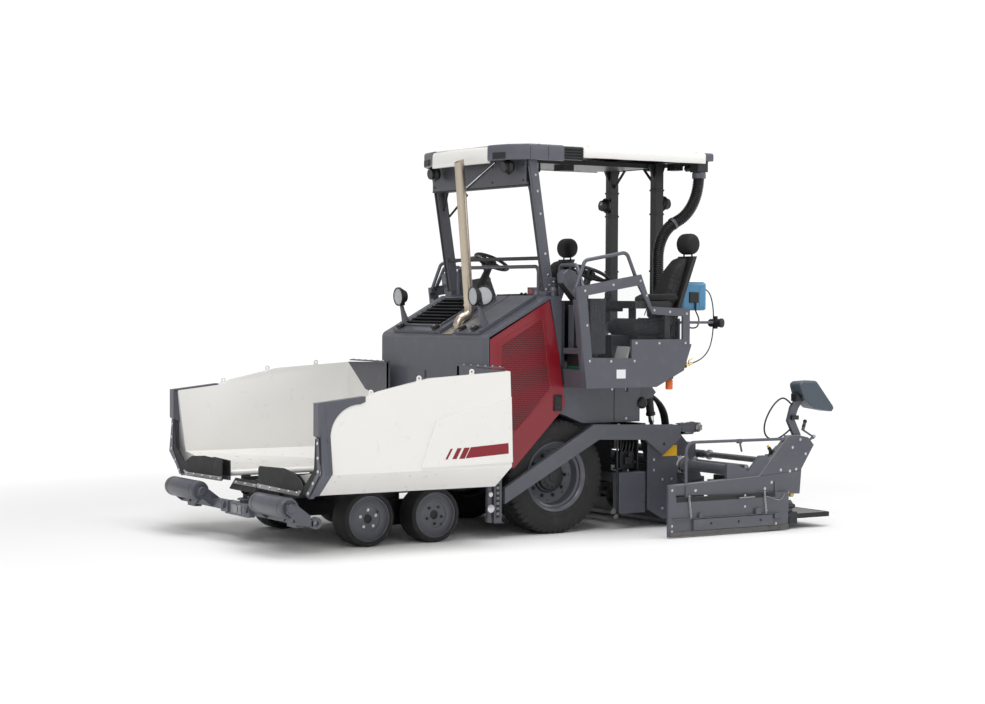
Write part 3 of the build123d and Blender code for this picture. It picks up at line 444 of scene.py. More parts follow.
setCamera()
setFloor()
addLight("keyLight", (7.0, 7.5, 9.0), (0, 0, 1.2), 6.0, 400)
addLight("topLight", (-1.0, 1.0, 9.5), (0, 0, 0.5), 9.0, 620)
addLight("rimLight", (-9.0, 5.0, 6.0), (0, 0, 1.5), 5.0, 160)
world = bpy.data.worlds.new("studio")
world.use_nodes = True
rays = addNode(world.node_tree, "LightPath", {})
seen = addNode(world.node_tree, "MapRange",
               {"To Min": studio["lighting"], "To Max": studio["background"],
                "Value": rays.outputs["Is Camera Ray"]})
feed(world.node_tree.nodes["Background"], {"Color": (1, 1, 1, 1), "Strength": seen.outputs["Result"]})
bpy.context.scene.world = world
bpy.context.scene.view_settings.view_transform = "Standard"


# cords

sprayRoute = [(-1.73, 0.86, 2.235), (-1.774, 0.862, 2.218), (-1.8, 0.882, 2.136), (-1.79, 0.92, 2.02),
              (-1.745, 0.975, 1.89), (-1.68, 1.04, 1.77), (-1.59, 1.11, 1.67), (-1.47, 1.18, 1.6),
              (-1.345, 1.235, 1.56), (-1.24, 1.268, 1.54)]
cableRoute = [(-2.152, 1.16), (-2.1, 1.205), (-2.035, 1.23), (-1.95, 1.182), (-1.88, 1.1), (-1.83, 1.01),
              (-1.818, 0.925), (-1.85, 0.865), (-1.92, 0.838), (-1.998, 0.85), (-2.075, 0.888),
              (-2.138, 0.93)]
cords = {"sprayRadius": 0.006, "cableRadius": 0.008, "cableY": 1.64}


def makeCord(name, route, radius, body, node, material):
    # smooth cord on its route's control points
    curve = bpy.data.curves.new(name, "CURVE")
    curve.dimensions = "3D"
    curve.bevel_depth, curve.bevel_resolution, curve.resolution_u = radius, 4, 10
    curve.use_fill_caps = True
    line = curve.splines.new("NURBS")
    line.points.add(len(route) - 1)
    for point, place in zip(line.points, route):
        point.co = (place[0] + shiftX, place[1], place[2], 1)
    line.order_u = 3
    line.use_endpoint_u = True
    curve.materials.append(material)
    piece = bpy.data.objects.new(name, curve)
    bpy.context.scene.collection.objects.link(piece)
    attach(piece, body)
    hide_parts(node)


makeCord("sprayHose", sprayRoute, cords["sprayRadius"], "tractor", "spray_hose", hoseRubber)
for side, sign in sides.items():
    makeCord(f"controlCable_{side}", [(x, sign * cords["cableY"], z) for x, z in cableRoute],
             cords["cableRadius"], f"extension_{side}", f"control_cable_{side}", hoseRubber)
print("cords made")

# wheels

rearWheel = {"axleZ": 0.52, "radius": 0.52, "inner": 0.56, "outer": 0.915, "lugs": 54, "groove": 0.014,
             "notch": 0.013, "hubBolts": 10}


def rearTyre():
    # ribbed tread on a grid of angle by width; shoulder notches are cut where the angle's phase says so
    w = rearWheel
    middle, half = (w["inner"] + w["outer"]) / 2, (w["outer"] - w["inner"]) / 2
    wall = np.array([(0.3, 0.88), (0.308, 0.93), (0.33, 0.955), (0.345, 0.965), (0.35, 0.985),
                     (0.362, 0.985), (0.368, 0.97), (0.4, 1.0), (0.43, 1.0), (0.46, 0.985), (0.478, 0.955),
                     (0.492, 0.93), (0.505, 0.9), (0.514, 0.85)])
    ribs = []
    for edge in (-0.093, -0.077, -0.008, 0.008, 0.077, 0.093):
        ribs += [(edge - 0.0005, edge in (-0.077, 0.008, 0.093)),
                 (edge + 0.0005, edge in (-0.093, -0.008, 0.077))]
    tread = [(w["radius"] - (w["groove"] if deep else 0.0), edge) for edge, deep in ribs]
    profile = [(r, -f * half) for r, f in wall] + [(0.5195, -0.135), (0.52, -0.118)] + tread
    profile += [(0.52, 0.118), (0.5195, 0.135)] + [(r, f * half) for r, f in wall[::-1]]
    profile += [(0.3, 0.1), (0.3, -0.1)]
    profile = np.array(profile)
    count = w["lugs"] * 8
    t = np.arange(count)
    notch = np.isin(t % 8, (0, 1))
    r = np.repeat(profile[:, 0][:, None], count, axis=1)
    shoulder = (np.abs(profile[:, 1]) > 0.112) & (profile[:, 0] > 0.47)
    r[np.ix_(shoulder, notch)] -= w["notch"]
    angle = t * 2 * math.pi / count
    y = np.repeat((middle + profile[:, 1])[:, None], count, axis=1)
    points = np.stack([r * np.cos(angle), y, w["axleZ"] + r * np.sin(angle)], axis=2)
    return points.reshape(-1, 3), gridFaces(len(profile), count, wrapRows=True, wrapCols=True)


def ringOfBolts(centre, axis, ringRadius, count, radius, height, turn=0.0):
    # heads evenly spaced on a circle round the axis
    a, b, _ = frameOf(axis)
    angles = turn + np.arange(count) * 2 * math.pi / count
    return bolts([np.asarray(centre) + ringRadius * (math.cos(t) * a + math.sin(t) * b) for t in angles],
                 axis, radius, height)


def rearWheels():
    # tyre, dished rim and hub as turned profiles, with rings of bolts, and black discs as painted shade in
    # the rim's holes
    w, z = rearWheel, rearWheel["axleZ"]
    body, across = "rear_wheel_{side}", (0, 1, 0)
    bothSides("rearTyre", rearTyre(), tyreRubber, body, "rear_tyre_{side}", angle=28)
    rim = [(0.297, 0.578), (0.316, 0.572), (0.32, 0.58), (0.3, 0.592), (0.3, 0.888), (0.318, 0.893),
           (0.322, 0.902), (0.314, 0.908), (0.298, 0.898), (0.284, 0.884), (0.281, 0.862), (0.262, 0.85),
           (0.258, 0.8), (0.25, 0.775), (0.215, 0.762), (0.15, 0.76), (0.15, 0.715), (0.27, 0.715),
           (0.284, 0.7), (0.284, 0.6)]
    bothSides("rearRim", closedLathe(rim, (0, 0, z), across, 72), greyPaint, body, "rear_rim_{side}")
    hub = [(0, 0.64), (0.155, 0.64), (0.156, 0.775), (0.15, 0.786), (0.132, 0.792), (0.128, 0.828),
           (0.112, 0.842), (0.1, 0.845), (0.094, 0.852), (0.05, 0.856), (0.046, 0.862), (0, 0.862)]
    bothSides("rearHub", lathe(hub, (0, 0, z), across, 60), darkPaint, body)
    nuts = joined(ringOfBolts((0, 0.76, z), across, 0.188, w["hubBolts"], 0.013, 0.016),
                  ringOfBolts((0, 0.845, z), across, 0.106, 12, 0.006, 0.006))
    bothSides("rearNuts", nuts, darkPaint, body)
    # black discs on the rim's face: painted shade where its holes are
    spots = [(0.232 * math.cos(t), 0.232 * math.sin(t) + z) for t in np.arange(8) * math.pi / 4]
    holes = [rod((x, 0.7655, up), (x, 0.7675, up), 0.013, 14) for x, up in spots]
    bothSides("rearRimHoles", joined(*holes), blackPlastic, body)


bogieWheel = {"x": {"front": 1.94, "rear": 1.28}, "radius": 0.24}


def bogieWheels():
    # tyre and dished disc as turned profiles, with a cap, five bolts and a black disc as painted shade in a
    # hole
    w = bogieWheel
    tyre = [(0.194, 0.69), (0.222, 0.677), (0.236, 0.684), (0.24, 0.7), (0.24, 0.9), (0.236, 0.914),
            (0.224, 0.922), (0.206, 0.923), (0.2, 0.916), (0.196, 0.905), (0.194, 0.905)]
    disc = [(0.194, 0.7), (0.196, 0.69), (0.186, 0.69), (0.178, 0.7), (0.174, 0.86), (0.066, 0.86),
            (0.06, 0.765), (0.04, 0.765), (0.04, 0.884), (0.048, 0.886), (0.112, 0.89), (0.116, 0.896),
            (0.158, 0.896), (0.164, 0.892), (0.178, 0.892), (0.184, 0.902), (0.19, 0.912), (0.197, 0.913),
            (0.199, 0.905), (0.194, 0.9)]
    for end, x in w["x"].items():
        for side, sign in sides.items():
            body, centre = f"bogie_wheel_{end}_{side}", (x, 0, w["radius"])
            rubber = makeMesh(f"bogieTyre_{end}_{side}",
                              *closedLathe([(r, sign * y) for r, y in tyre], centre, (0, 1, 0), 72),
                              tyreRubber, body)
            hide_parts(f"bogie_wheel_{end}_{side}")
            makeMesh(f"bogieRim_{end}_{side}",
                     *closedLathe([(r, sign * y) for r, y in disc], centre, (0, 1, 0), 72), greyPaint, body)
            cap = rod((x, sign * 0.766, w["radius"]), (x, sign * 0.874, w["radius"]), 0.0395, 24)
            makeMesh(f"bogieHub_{end}_{side}", *cap, blackPlastic, body)
            turn = 0.35 if end == "front" else -0.25
            ring = ringOfBolts((x, sign * 0.89, w["radius"]), (0, sign, 0), 0.078, 5, 0.0095, 0.01, turn)
            makeMesh(f"bogieBolts_{end}_{side}", *ring, brightSteel if end == "front" else darkPaint, body)
            # black disc: painted shade in the disc's hole
            t = 0.55 if end == "front" else -0.9
            hole = rod((x - sign * 0.108 * math.cos(t), sign * 0.8945, w["radius"] + 0.108 * math.sin(t)),
                       (x - sign * 0.108 * math.cos(t), sign * 0.8968, w["radius"] + 0.108 * math.sin(t)),
                       0.0115, 16)
            makeMesh(f"bogieHolePaintedShade_{end}_{side}", *hole, blackPlastic, body)


rearWheels()
bogieWheels()
print("wheels made")


# hopper

# Outer face of a wing's wall: it leans in from y = low at z = bottom to y = high at z = top.
wingWall = {"low": 1.522, "bottom": 0.69, "high": 1.467, "top": 1.52}


def onWing(x, z, out=0.0):
    # point on the raised panel of the left wing, pushed outwards
    w = wingWall
    lean = (w["high"] - w["low"]) / (w["top"] - w["bottom"])
    return (x, w["low"] + lean * (z - w["bottom"]) + out, z)


def decal(outline, thickness=0.0012, base=0.0002):
    # thin plate on the wing's raised panel, outline given as (x, z)
    points = [onWing(x, z, out) for out in (base, thickness) for x, z in outline]
    return np.array(points), prism(outline, base, thickness)[1]


def wings():
    # blank band and slashes, lifting lugs, skins of the rear plates, and the ears
    band = [decal([(1.29, 0.872), (0.91, 0.895), (0.91, 0.805), (1.345, 0.78)])]
    for k, width in enumerate((0.055, 0.042, 0.022)):
        x = 1.355 + k * 0.068
        band.append(decal([(x, 0.87 - 0.002 * k), (x - width, 0.87 - 0.002 * k), (x + 0.055 - width, 0.778),
                           (x + 0.055, 0.778)]))
    bothSides("wingBand", joined(*band), redPaint, "wing_{side}", smooth=False)
    # lifting lugs on the top edge: x, height of the edge
    lugs = []
    for x, z in ((2.22, 1.33), (1.76, 1.44), (1.24, 1.488)):
        foot = prism([(x - 0.034, z - 0.012), (x + 0.034, z - 0.012), (x + 0.02, z + 0.012),
                      (x - 0.02, z + 0.012)], 1.433, 1.443)
        lugs += [foot, closedLathe([(0.01, -0.006), (0.023, -0.006), (0.023, 0.006), (0.01, 0.006)],
                                   (x, 1.438, z + 0.022), (0, 1, 0), 20)]
    bothSides("wingLugs", joined(*lugs), whitePaint, "wing_{side}", bevel=0.0015)
    # rear plate: grey skin on its upper part with a bolted flange along the top, white skin below
    upper = [(1.408, 1.512), (0.598, 1.532), (0.59, 1.15), (1.06, 1.26)]
    lower = [(1.408, 1.512), (1.06, 1.26), (0.59, 1.15), (0.583, 0.64), (1.0, 0.62), (1.34, 0.7)]
    for side, sign in sides.items():
        x = 0.862 if sign > 0 else 0.886
        ahead = (x - 0.042, x + 0.0155) if sign > 0 else (x - 0.0015, x + 0.056)
        skin = joined(prism([(sign * y, z) for y, z in upper], x - 0.0015, x + 0.0155, "x"),
                      block(ahead, (sign * 0.6, sign * 1.3), (1.528, 1.54)),
                      block((x - 0.0015, x + 0.0155), (sign * 0.6, sign * 0.64), (0.7, 1.53)))
        makeMesh(f"rearPlate_{side}", *skin, greyPaint, f"wing_{side}", bevel=0.001)
        face = prism([(sign * y, z) for y, z in lower], x - 0.0015, x + 0.0155, "x")
        makeMesh(f"rearPlateLow_{side}", *face, whitePaint, f"wing_{side}", bevel=0.001)
        out = x - 0.022 if sign > 0 else x + 0.036
        heads = bolts([(out, sign * y, 1.54) for y in np.arange(0.66, 1.3, 0.12)], (0, 0, 1))
        makeMesh(f"rearPlateBolts_{side}", *heads, brightSteel, f"wing_{side}")
    # ear: plate with a hollow curve on the wall's front corner
    t = np.linspace(math.pi / 2, 0, 12)
    hollow = [(2.34 + 0.285 * math.sin(a), 0.985 + 0.275 * math.cos(a)) for a in t]
    ear = [(2.692, 1.262), (2.692, 0.99), (2.64, 0.96)] + hollow + [(2.29, 1.278), (2.29, 1.306)]
    bothSides("earPlate", decal(ear, -0.004, -0.013), greyPaint, "wing_{side}", bevel=0.002)


def flapAndStrip():
    # rubber flap with a bolted steel strip, and the rubber that climbs the wing's front corner
    under = prism([(0.37, 0.505), (0.37, 0.68), (0.7, 0.69), (1.0, 0.65), (1.13, 0.57), (1.05, 0.49)], 2.64,
                  2.654, "x")
    bothSides("rearFlap", under, flapRubber, "wing_{side}", "wing_flap_{side}", bevel=0.003)
    strip = prism([(0.37, 0.505), (1.05, 0.494), (1.12, 0.56), (1.085, 0.562), (1.035, 0.53),
                   (0.37, 0.542)], 2.654, 2.66, "x")
    bothSides("flapStrip", strip, bareSteel, "wing_{side}", bevel=0.001)
    heads = bolts([(2.66, y, 0.521) for y in (0.54, 0.72, 0.9, 1.01)], (1, 0, 0), 0.011, 0.007)
    bothSides("flapBolts", heads, brightSteel, "wing_{side}")
    front = prism([(0.37, 0.505), (0.37, 0.668), (0.395, 0.69), (0.76, 0.7), (1.02, 0.68), (1.15, 0.63),
                   (1.215, 0.56), (1.16, 0.494)], 2.716, 2.73, "x")
    bothSides("frontFlap", front, flapRubber, "wing_{side}", bevel=0.003)
    bar = prism([(0.366, 0.5), (1.14, 0.491), (1.195, 0.54), (1.16, 0.545), (1.11, 0.528), (0.366, 0.54)],
                2.7305, 2.7365, "x")
    bothSides("frontStrip", bar, bareSteel, "wing_{side}", bevel=0.001)
    heads = bolts([(2.7365, y, 0.518) for y in (0.42, 0.6, 0.78, 0.96, 1.11)], (1, 0, 0), 0.01, 0.006)
    bothSides("frontBolts", heads, brightSteel, "wing_{side}")
    rubber = prism([(1.415, 0.985), (1.452, 0.985), (1.462, 0.705), (1.275, 0.515), (1.16, 0.5),
                    (1.15, 0.56), (1.235, 0.59), (1.395, 0.735)], 2.712, 2.724, "x")
    bothSides("cornerRubber", rubber, flapRubber, "wing_{side}", bevel=0.002)
    edge = prism([(1.446, 0.99), (1.486, 0.99), (1.505, 0.7), (1.3, 0.492), (1.262, 0.51), (1.46, 0.712)],
                 2.722, 2.729, "x")
    bothSides("cornerStrip", edge, greyPaint, "wing_{side}", bevel=0.001)
    spots = [(2.729, 1.468, 0.95), (2.729, 1.474, 0.83), (2.729, 1.478, 0.72), (2.729, 1.39, 0.618),
             (2.729, 1.305, 0.53)]
    bothSides("cornerBolts", bolts(spots, (1, 0, 0), 0.01, 0.007), brightSteel, "wing_{side}")


beam = {"rollerX": 2.84, "rollerZ": 0.4, "pivotX": 2.6}


def pushRollers():
    # turned profile with two raised rings
    body, axle, across = "push_roller_{side}", (beam["rollerX"], 0, beam["rollerZ"]), (0, 1, 0)
    profile = [(0, 0.556), (0.024, 0.556), (0.026, 0.576), (0.06, 0.576), (0.062, 0.583), (0.076, 0.583),
               (0.084, 0.588), (0.088, 0.6), (0.088, 1.172), (0.084, 1.188), (0.078, 1.193), (0.062, 1.193),
               (0.058, 1.186), (0.03, 1.186), (0.028, 1.209), (0, 1.209)]
    bothSides("pushRoller", lathe(profile, axle, across, 56), greyPaint, body, body)
    rings = [lathe([(0.0875, y - 0.004), (0.0892, y - 0.003), (0.0892, y + 0.003), (0.0875, y + 0.004)],
                   axle, across, 56) for y in (0.64, 1.13)]
    bothSides("rollerRings", joined(*rings), darkPaint, body)


def pushBeam():
    # bearing caps, stop blocks, pivot cap and housing, lugs and eyes
    parts = []
    for sign in (1, -1):
        for y in (1.234, 0.541):
            out = 1 if y > 1 else -1
            parts.append(lathe([(0, 0), (0.04, 0), (0.04, 0.006), (0.032, 0.012), (0, 0.012)],
                               (beam["rollerX"], sign * y, beam["rollerZ"]), (0, sign * out, 0), 28))
        parts.append(block((2.668, 2.735), (sign * 0.93, sign * 1.1), (0.225, 0.256)))
        parts.append(rod((2.741, sign * 1.05, 0.29), (2.752, sign * 1.05, 0.29), 0.03, 22))
        parts.append(rod((2.741, sign * 0.88, 0.29), (2.752, sign * 0.88, 0.29), 0.03, 22))
    parts.append(lathe([(0, 0), (0.062, 0), (0.062, 0.01), (0.044, 0.018), (0, 0.018)],
                       (beam["pivotX"], 0, 0.37), (0, 0, 1), 30))
    parts.append(lathe([(0, -0.13), (0.086, -0.13), (0.09, -0.122), (0.09, -0.108), (0.072, -0.104),
                        (0.072, -0.016), (0.092, -0.012), (0.092, 0.0), (0, 0.004)], (2.65, 0, 0.376),
                        (0, 0, 1), 36))
    for sign in (1, -1):
        parts.append(block((2.73, 2.775), (sign * 0.15, sign * 0.29), (0.245, 0.35)))
        parts.append(closedLathe([(0.024, -0.022), (0.05, -0.022), (0.05, 0.022), (0.024, 0.022)],
                                 (2.61, sign * 1.205, 0.27), (0, 1, 0), 28))
        parts.append(block((2.64, 2.68), (sign * 1.183, sign * 1.227), (0.24, 0.3)))
        parts.append(lathe([(0, 0), (0.034, 0), (0.034, 0.02), (0.018, 0.026), (0, 0.026)],
                           (2.775, sign * 0.235, 0.305), (1, 0, 0), 24))
    makeMesh("beamCaps", *joined(*parts), greyPaint, "push_beam", bevel=0.002)
    heads = bolts([(beam["pivotX"] + 0.045 * math.cos(t), 0.045 * math.sin(t), 0.384)
                   for t in np.arange(6) * math.pi / 3], (0, 0, 1), 0.007)
    plate = joined(block((2.7595, 2.764), (-0.1, 0.1), (0.25, 0.325)),
                   rod((2.764, 0, 0.288), (2.77, 0, 0.288), 0.034, 26))
    makeMesh("beamBolts", *heads, brightSteel, "push_beam")
    makeMesh("beamPlate", *plate, bareSteel, "push_beam", bevel=0.001)


def hopperFloor():
    # rubber guard over the pivot, and its strip with three bolts
    guard = prism([(2.452, 0.467), (2.65, 0.5375), (2.712, 0.446), (2.706, 0.443), (2.646, 0.531),
                   (2.452, 0.461)], -0.252, 0.252)
    makeMesh("pivotGuard", *guard, flapRubber, "tractor", bevel=0.001)
    strip = prism([(2.6665, 0.5145), (2.6845, 0.4875), (2.6895, 0.4905), (2.6715, 0.5175)], -0.24, 0.24)
    makeMesh("guardStrip", *strip, bareSteel, "tractor", bevel=0.0008)
    heads = bolts([(2.681, y, 0.5045) for y in (-0.18, 0.0, 0.18)], (0.83, 0, 0.55), 0.01, 0.007)
    makeMesh("guardBolts", *heads, brightSteel, "tractor")


wings()
flapAndStrip()
pushRollers()
pushBeam()
hopperFloor()
print("hopper made")


# bonnet

lidPlane = {"x": 0.15, "z": 2.1394, "slope": math.atan2(0.352, 0.648)}


def onLid(along, y, up=0.0):
    # point on the sloping lid: measured down the slope from the hinge, and out from the bonnet's top
    s = lidPlane["slope"]
    return (lidPlane["x"] + along * math.cos(s) + up * math.sin(s), y,
            lidPlane["z"] - along * math.sin(s) + up * math.cos(s))


def lidBlock(along, y, up):
    # box between two values down the slope, across and out
    return np.array([onLid(a, b, c) for a in along for b in sorted(y) for c in up]), block(along, y, up)[1]


def lids():
    # black floor under the louvre, as painted shade in its openings, and black skins on its slats
    parts = [lidBlock((0.085, 0.59), (-0.66, -0.015), (0.0302, 0.0312))]
    for k in range(8):
        a = 0.09 + k * 0.062
        p = [onLid(a + u, y, up) for y in (-0.651, -0.024) for u,
             up in ((-0.001, 0.0302), (0.0395, 0.0572), (0.049, 0.0572), (0.0155, 0.0302))]
        parts.append((np.array(p), [(0, 1, 2, 3), (7, 6, 5, 4), (0, 4, 5, 1), (1, 5, 6, 2), (2, 6, 7, 3),
                                    (3, 7, 4, 0)]))
    makeMesh("louvre", *joined(*parts), blackPlastic, "lid_right", smooth=False)
    frame = [lidBlock((0.06, 0.085), (-0.69, 0.015), (0.029, 0.044)),
             lidBlock((0.59, 0.612), (-0.69, 0.015), (0.029, 0.044)),
             lidBlock((0.085, 0.59), (-0.69, -0.662), (0.029, 0.044)),
             lidBlock((0.085, 0.59), (-0.013, 0.015), (0.029, 0.044))]
    makeMesh("louvreFrame", *joined(*frame), greyPaint, "lid_right", bevel=0.003)
    for side, low, high in (("right", -0.76, 0.105), ("left", 0.36, 0.79)):
        latches, knobs = [], []
        for y in (low + 0.11, high - 0.11):
            latches += [lidBlock((0.618, 0.678), (y - 0.0295, y + 0.0295), (0.028, 0.0595)),
                        lidBlock((0.64, 0.69), (y - 0.02, y + 0.02), (0.05, 0.066))]
            knobs.append(rod(onLid(0.655, y, 0.062), onLid(0.655, y, 0.07), 0.011, 14))
        makeMesh(f"latches_{side}", *joined(*latches), blackPlastic, f"lid_{side}", bevel=0.004)
        makeMesh(f"latchKnobs_{side}", *joined(*knobs), brightSteel, f"lid_{side}")
        edge = [lidBlock((0.004, 0.69), (low, low + 0.012), (0.029, 0.034)),
                lidBlock((0.004, 0.69), (high - 0.012, high), (0.029, 0.034))]
        makeMesh(f"lidEdges_{side}", *joined(*edge), greyPaint, f"lid_{side}", bevel=0.002)


def lampHead(centre, axis, radius):
    # round work lamp: cup-shaped housing, chrome bowl, clear lens and a bezel
    housing = lathe([(0, -0.075), (0.03, -0.074), (0.055, -0.062), (0.072, -0.03), (radius, -0.004),
                     (radius, 0.018), (radius - 0.006, 0.022), (radius - 0.011, 0.018),
                     (radius - 0.013, 0.004), (0, 0.004)], centre, axis, 44)
    bowl = lathe([(radius - 0.014, 0.0145), (0.045, 0.0075), (0.018, 0.0055), (0, 0.0052)], centre, axis,
                 40)
    lens = lathe([(radius - 0.012, 0.016), (radius * 0.6, 0.0225), (0, 0.025)], centre, axis, 40)
    return housing, bowl, lens


def workLamps():
    # tapering stalk, bracket and one or two heads on each lid
    for side, y, heads in (("right", -0.69, [((0.735, -0.69, 2.15), (1, 0.0, -0.05))]),
                           ("left", 0.71, [((0.752, 0.69, 2.156), (1, -0.05, -0.05)),
                                           ((0.69, 0.748, 2.16), (0.62, 0.78, -0.05))])):
        dark, chrome, clear, grey = [], [], [], []
        for centre, axis in heads:
            housing, bowl, lens = lampHead(centre, axis, 0.089)
            dark.append(housing)
            chrome.append(bowl)
            clear.append(lens)
        grey.append(pipe([(0.655, y, 1.872), (0.672, y, 1.93), (0.7, y, 2.02), (0.716, y, 2.085)],
                         [0.052, 0.034, 0.021, 0.018], 20))
        grey.append(rod((0.652, y, 1.868), (0.66, y, 1.89), 0.064, 24))
        dark.append(block((0.7, 0.73), (y - 0.045, y + 0.045), (2.066, 2.084)))
        for t in (-1, 1):
            dark.append(block((0.702, 0.728), (y + t * 0.045 - 0.004, y + t * 0.045 + 0.004), (2.07, 2.15)))
        body = f"lid_{side}"
        stalk = makeMesh(f"lampStalk_{side}", *joined(*grey), greyPaint, body)
        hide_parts(f"lamp_{side}")
        makeMesh(f"lampHousing_{side}", *joined(*dark), blackPlastic, body)
        makeMesh(f"lampBowl_{side}", *joined(*chrome), reflector, body)
        makeMesh(f"lampLens_{side}", *joined(*clear), clearLens, body)


def exhaustStack():
    # pipe with its elbow and a slanted, hollow end, a clamp at the elbow and the flange on the bonnet
    path = np.array([(0.64, 0.23, 1.62), (0.64, 0.23, 1.8), (0.64, 0.23, 1.888), (0.635, 0.23, 1.918),
                     (0.617, 0.23, 1.944), (0.59, 0.23, 1.961), (0.567, 0.23, 1.97), (0.543, 0.23, 1.982),
                     (0.527, 0.23, 2.002), (0.521, 0.23, 2.03), (0.526, 0.23, 2.09), (0.637, 0.23, 3.395)])
    count = 36
    points, faces = pipe(path, 0.045, count)
    last = (len(path) - 1) * count
    faces = [f for f in faces if len(points) - 1 not in f]
    ring = points[last:last + count].copy()
    lean = (0.62 - ring[:, 0]) * 0.45
    points[last:last + count, 2] = 3.4 + lean
    inner = ring.copy()
    inner[:, :2] = path[-1][:2] + (ring[:, :2] - path[-1][:2]) * 0.93
    inner[:, 2] = 3.4 + (0.62 - inner[:, 0]) * 0.45
    deep = inner.copy()
    deep[:, 0] -= 0.014
    deep[:, 2] -= 0.2
    start = len(points)
    points = np.vstack([points, inner, deep])
    i = np.arange(count)
    j = (i + 1) % count
    faces += np.stack([last + i, last + j, start + j, start + i], axis=1).tolist()
    faces += np.stack([start + i, start + j, start + count + j, start + count + i], axis=1).tolist()
    faces.append(tuple((start + count + i).tolist()))
    stack = makeMesh("exhaustStack", points, faces, stainless, "tractor", angle=50)
    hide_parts("exhaust")
    bands = [lathe([(0.0455, 0), (0.05, 0), (0.05, 0.018), (0.0455, 0.018)], place, axis, 36) for place,
             axis in (((0.524, 0.23, 2.07), (0.085, 0, 1)), ((0.64, 0.23, 1.886), (0, 0, 1)))]
    bands.append(lathe([(0.0455, 0), (0.074, 0), (0.074, 0.008), (0.0455, 0.008)],
                       onLid(0.572, 0.23, 0.002),
                       (math.sin(lidPlane["slope"]), 0, math.cos(lidPlane["slope"])), 36))
    makeMesh("exhaustBands", *joined(*bands), stainless, "tractor")
    makeMesh("heatShield", *lidBlock((0.48, 0.7), (0.15, 0.32), (0.003, 0.006)), stainless, "tractor")


def meshMaterial():
    # dark red sheet with rows of staggered slots; the slots are painted near-black as painted shade seen
    # through them
    material = newMaterial("grilleRed", (0.22, 0.008, 0.016), 0.45, grain=0)
    tree = material.node_tree
    turn = addNode(tree, "Mapping", {"Rotation": (math.radians(-90), 0, 0), "Vector": objectPlace(tree)},
                   vector_type="POINT")
    slots = {"Scale": 1.0, "Brick Width": 0.034, "Row Height": 0.017, "Mortar Size": 0.0042,
             "Mortar Smooth": 0.1}
    brick = addNode(tree, "TexBrick", {**slots, "Vector": turn.outputs["Vector"]}, offset=0.5)
    # near-black in the slots is painted shade; the thin red web is the sheet's own paint
    mix = addNode(tree, "Mix", {0: brick.outputs["Fac"], 6: (0.012, 0.008, 0.009, 1),
                                7: (0.26, 0.008, 0.018, 1)}, data_type="RGBA")
    bump = addNode(tree, "Bump", {"Distance": 0.004, "Height": brick.outputs["Fac"]})
    feed(tree.nodes["Principled BSDF"], {"Base Color": mix.outputs[2], "Normal": bump.outputs["Normal"]})
    return material


grilleRed = meshMaterial()


def sideDoors():
    # slotted mesh in the door's window, its rim, latch box and pull
    mesh = prism([(0.645, 1.765), (0.188, 1.985), (0.098, 1.3), (0.495, 0.935), (0.665, 0.935),
                  (0.665, 1.755)], 0.9385, 0.9405)
    bothSides("doorMesh", mesh, grilleRed, "side_door_{side}", smooth=False)
    outer = [(0.645, 1.765), (0.188, 1.985), (0.098, 1.3), (0.495, 0.935), (0.665, 0.935), (0.665, 1.755)]
    corners = [(x, 0.9415, z) for x, z in outer]
    rim = [pipe([corners[i], corners[(i + 1) % 6]], 0.005, 8) for i in range(6)]
    bothSides("doorMeshRim", joined(*rim), redPaint, "side_door_{side}")
    box = block((-0.022, 0.062), (0.944, 0.962), (1.12, 1.268))
    bothSides("doorLatch", box, blackPlastic, "side_door_{side}", bevel=0.006)
    pull = joined(rod((0.022, 0.962, 1.158), (0.022, 0.966, 1.158), 0.016, 20),
                  block((-0.006, 0.048), (0.961, 0.966), (1.195, 1.245)))
    bothSides("doorPull", pull, darkPaint, "side_door_{side}", bevel=0.002)


def bonnetDetails():
    # rail feet, display glass, the bonnet's front bolts and its pull
    parts = [lathe([(0.018, 0), (0.036, 0), (0.036, 0.008), (0.018, 0.01)], (0.07, y, 2.16), (0, 0, 1),
                   24) for y in (-0.7, 0.7)]
    parts.append(block((-0.012, 0.02), (-0.09, 0.06), (2.16, 2.176)))
    makeMesh("railFeet", *joined(*parts), greyPaint, "tractor")
    glass = block((0.0855, 0.0885), (0.56, 0.63), (2.18, 2.225))
    makeMesh("displayGlass", *glass, newMaterial("displayRed", (0.3, 0.01, 0.01), 0.1, grain=0, coat=0.8),
             "tractor")
    heads = bolts([(0.8005, y, 1.3) for y in (0.83, 0.86)], (1, 0, 0), 0.01)
    makeMesh("bonnetBolts", *joined(heads, mirrored(heads)), brightSteel, "tractor")
    plate = block((0.8005, 0.8025), (-0.1, -0.07), (1.36, 1.47))
    makeMesh("bonnetPull", *plate, darkPaint, "tractor", bevel=0.001)


lids()
workLamps()
exhaustStack()
sideDoors()
bonnetDetails()
print("bonnet made")


# canopy

canopy = {"postTop": 3.33, "postY": 0.82, "rearPostX": -1.52, "rearPostY": 0.37, "ductPitch": 0.0175,
          "ductRadius": 0.0525}


def carried(plan, section):
    # a (inset, z) section carried along a plan line that runs with the inside on its left; corners are mitred
    plan, section = np.asarray(plan, dtype=float), np.asarray(section, dtype=float)
    run = np.diff(plan, axis=0)
    run /= np.linalg.norm(run, axis=1)[:, None]
    inward = np.stack([-run[:, 1], run[:, 0]], axis=1)
    before, after = np.vstack([inward[:1], inward]), np.vstack([inward, inward[-1:]])
    mitre = (before + after) / (1 + np.sum(before * after, axis=1))[:, None]
    flat = plan[:, None] + section[None, :, :1] * mitre[:, None]
    level = np.broadcast_to(section[None, :, 1:], (len(plan), len(section), 1))
    points = np.concatenate([flat, level], axis=2).reshape(-1, 3)
    n = len(section)
    ends = [tuple(range(n)), tuple(range((len(plan) - 1) * n, len(plan) * n))]
    return points, gridFaces(len(plan), n, wrapCols=True) + ends


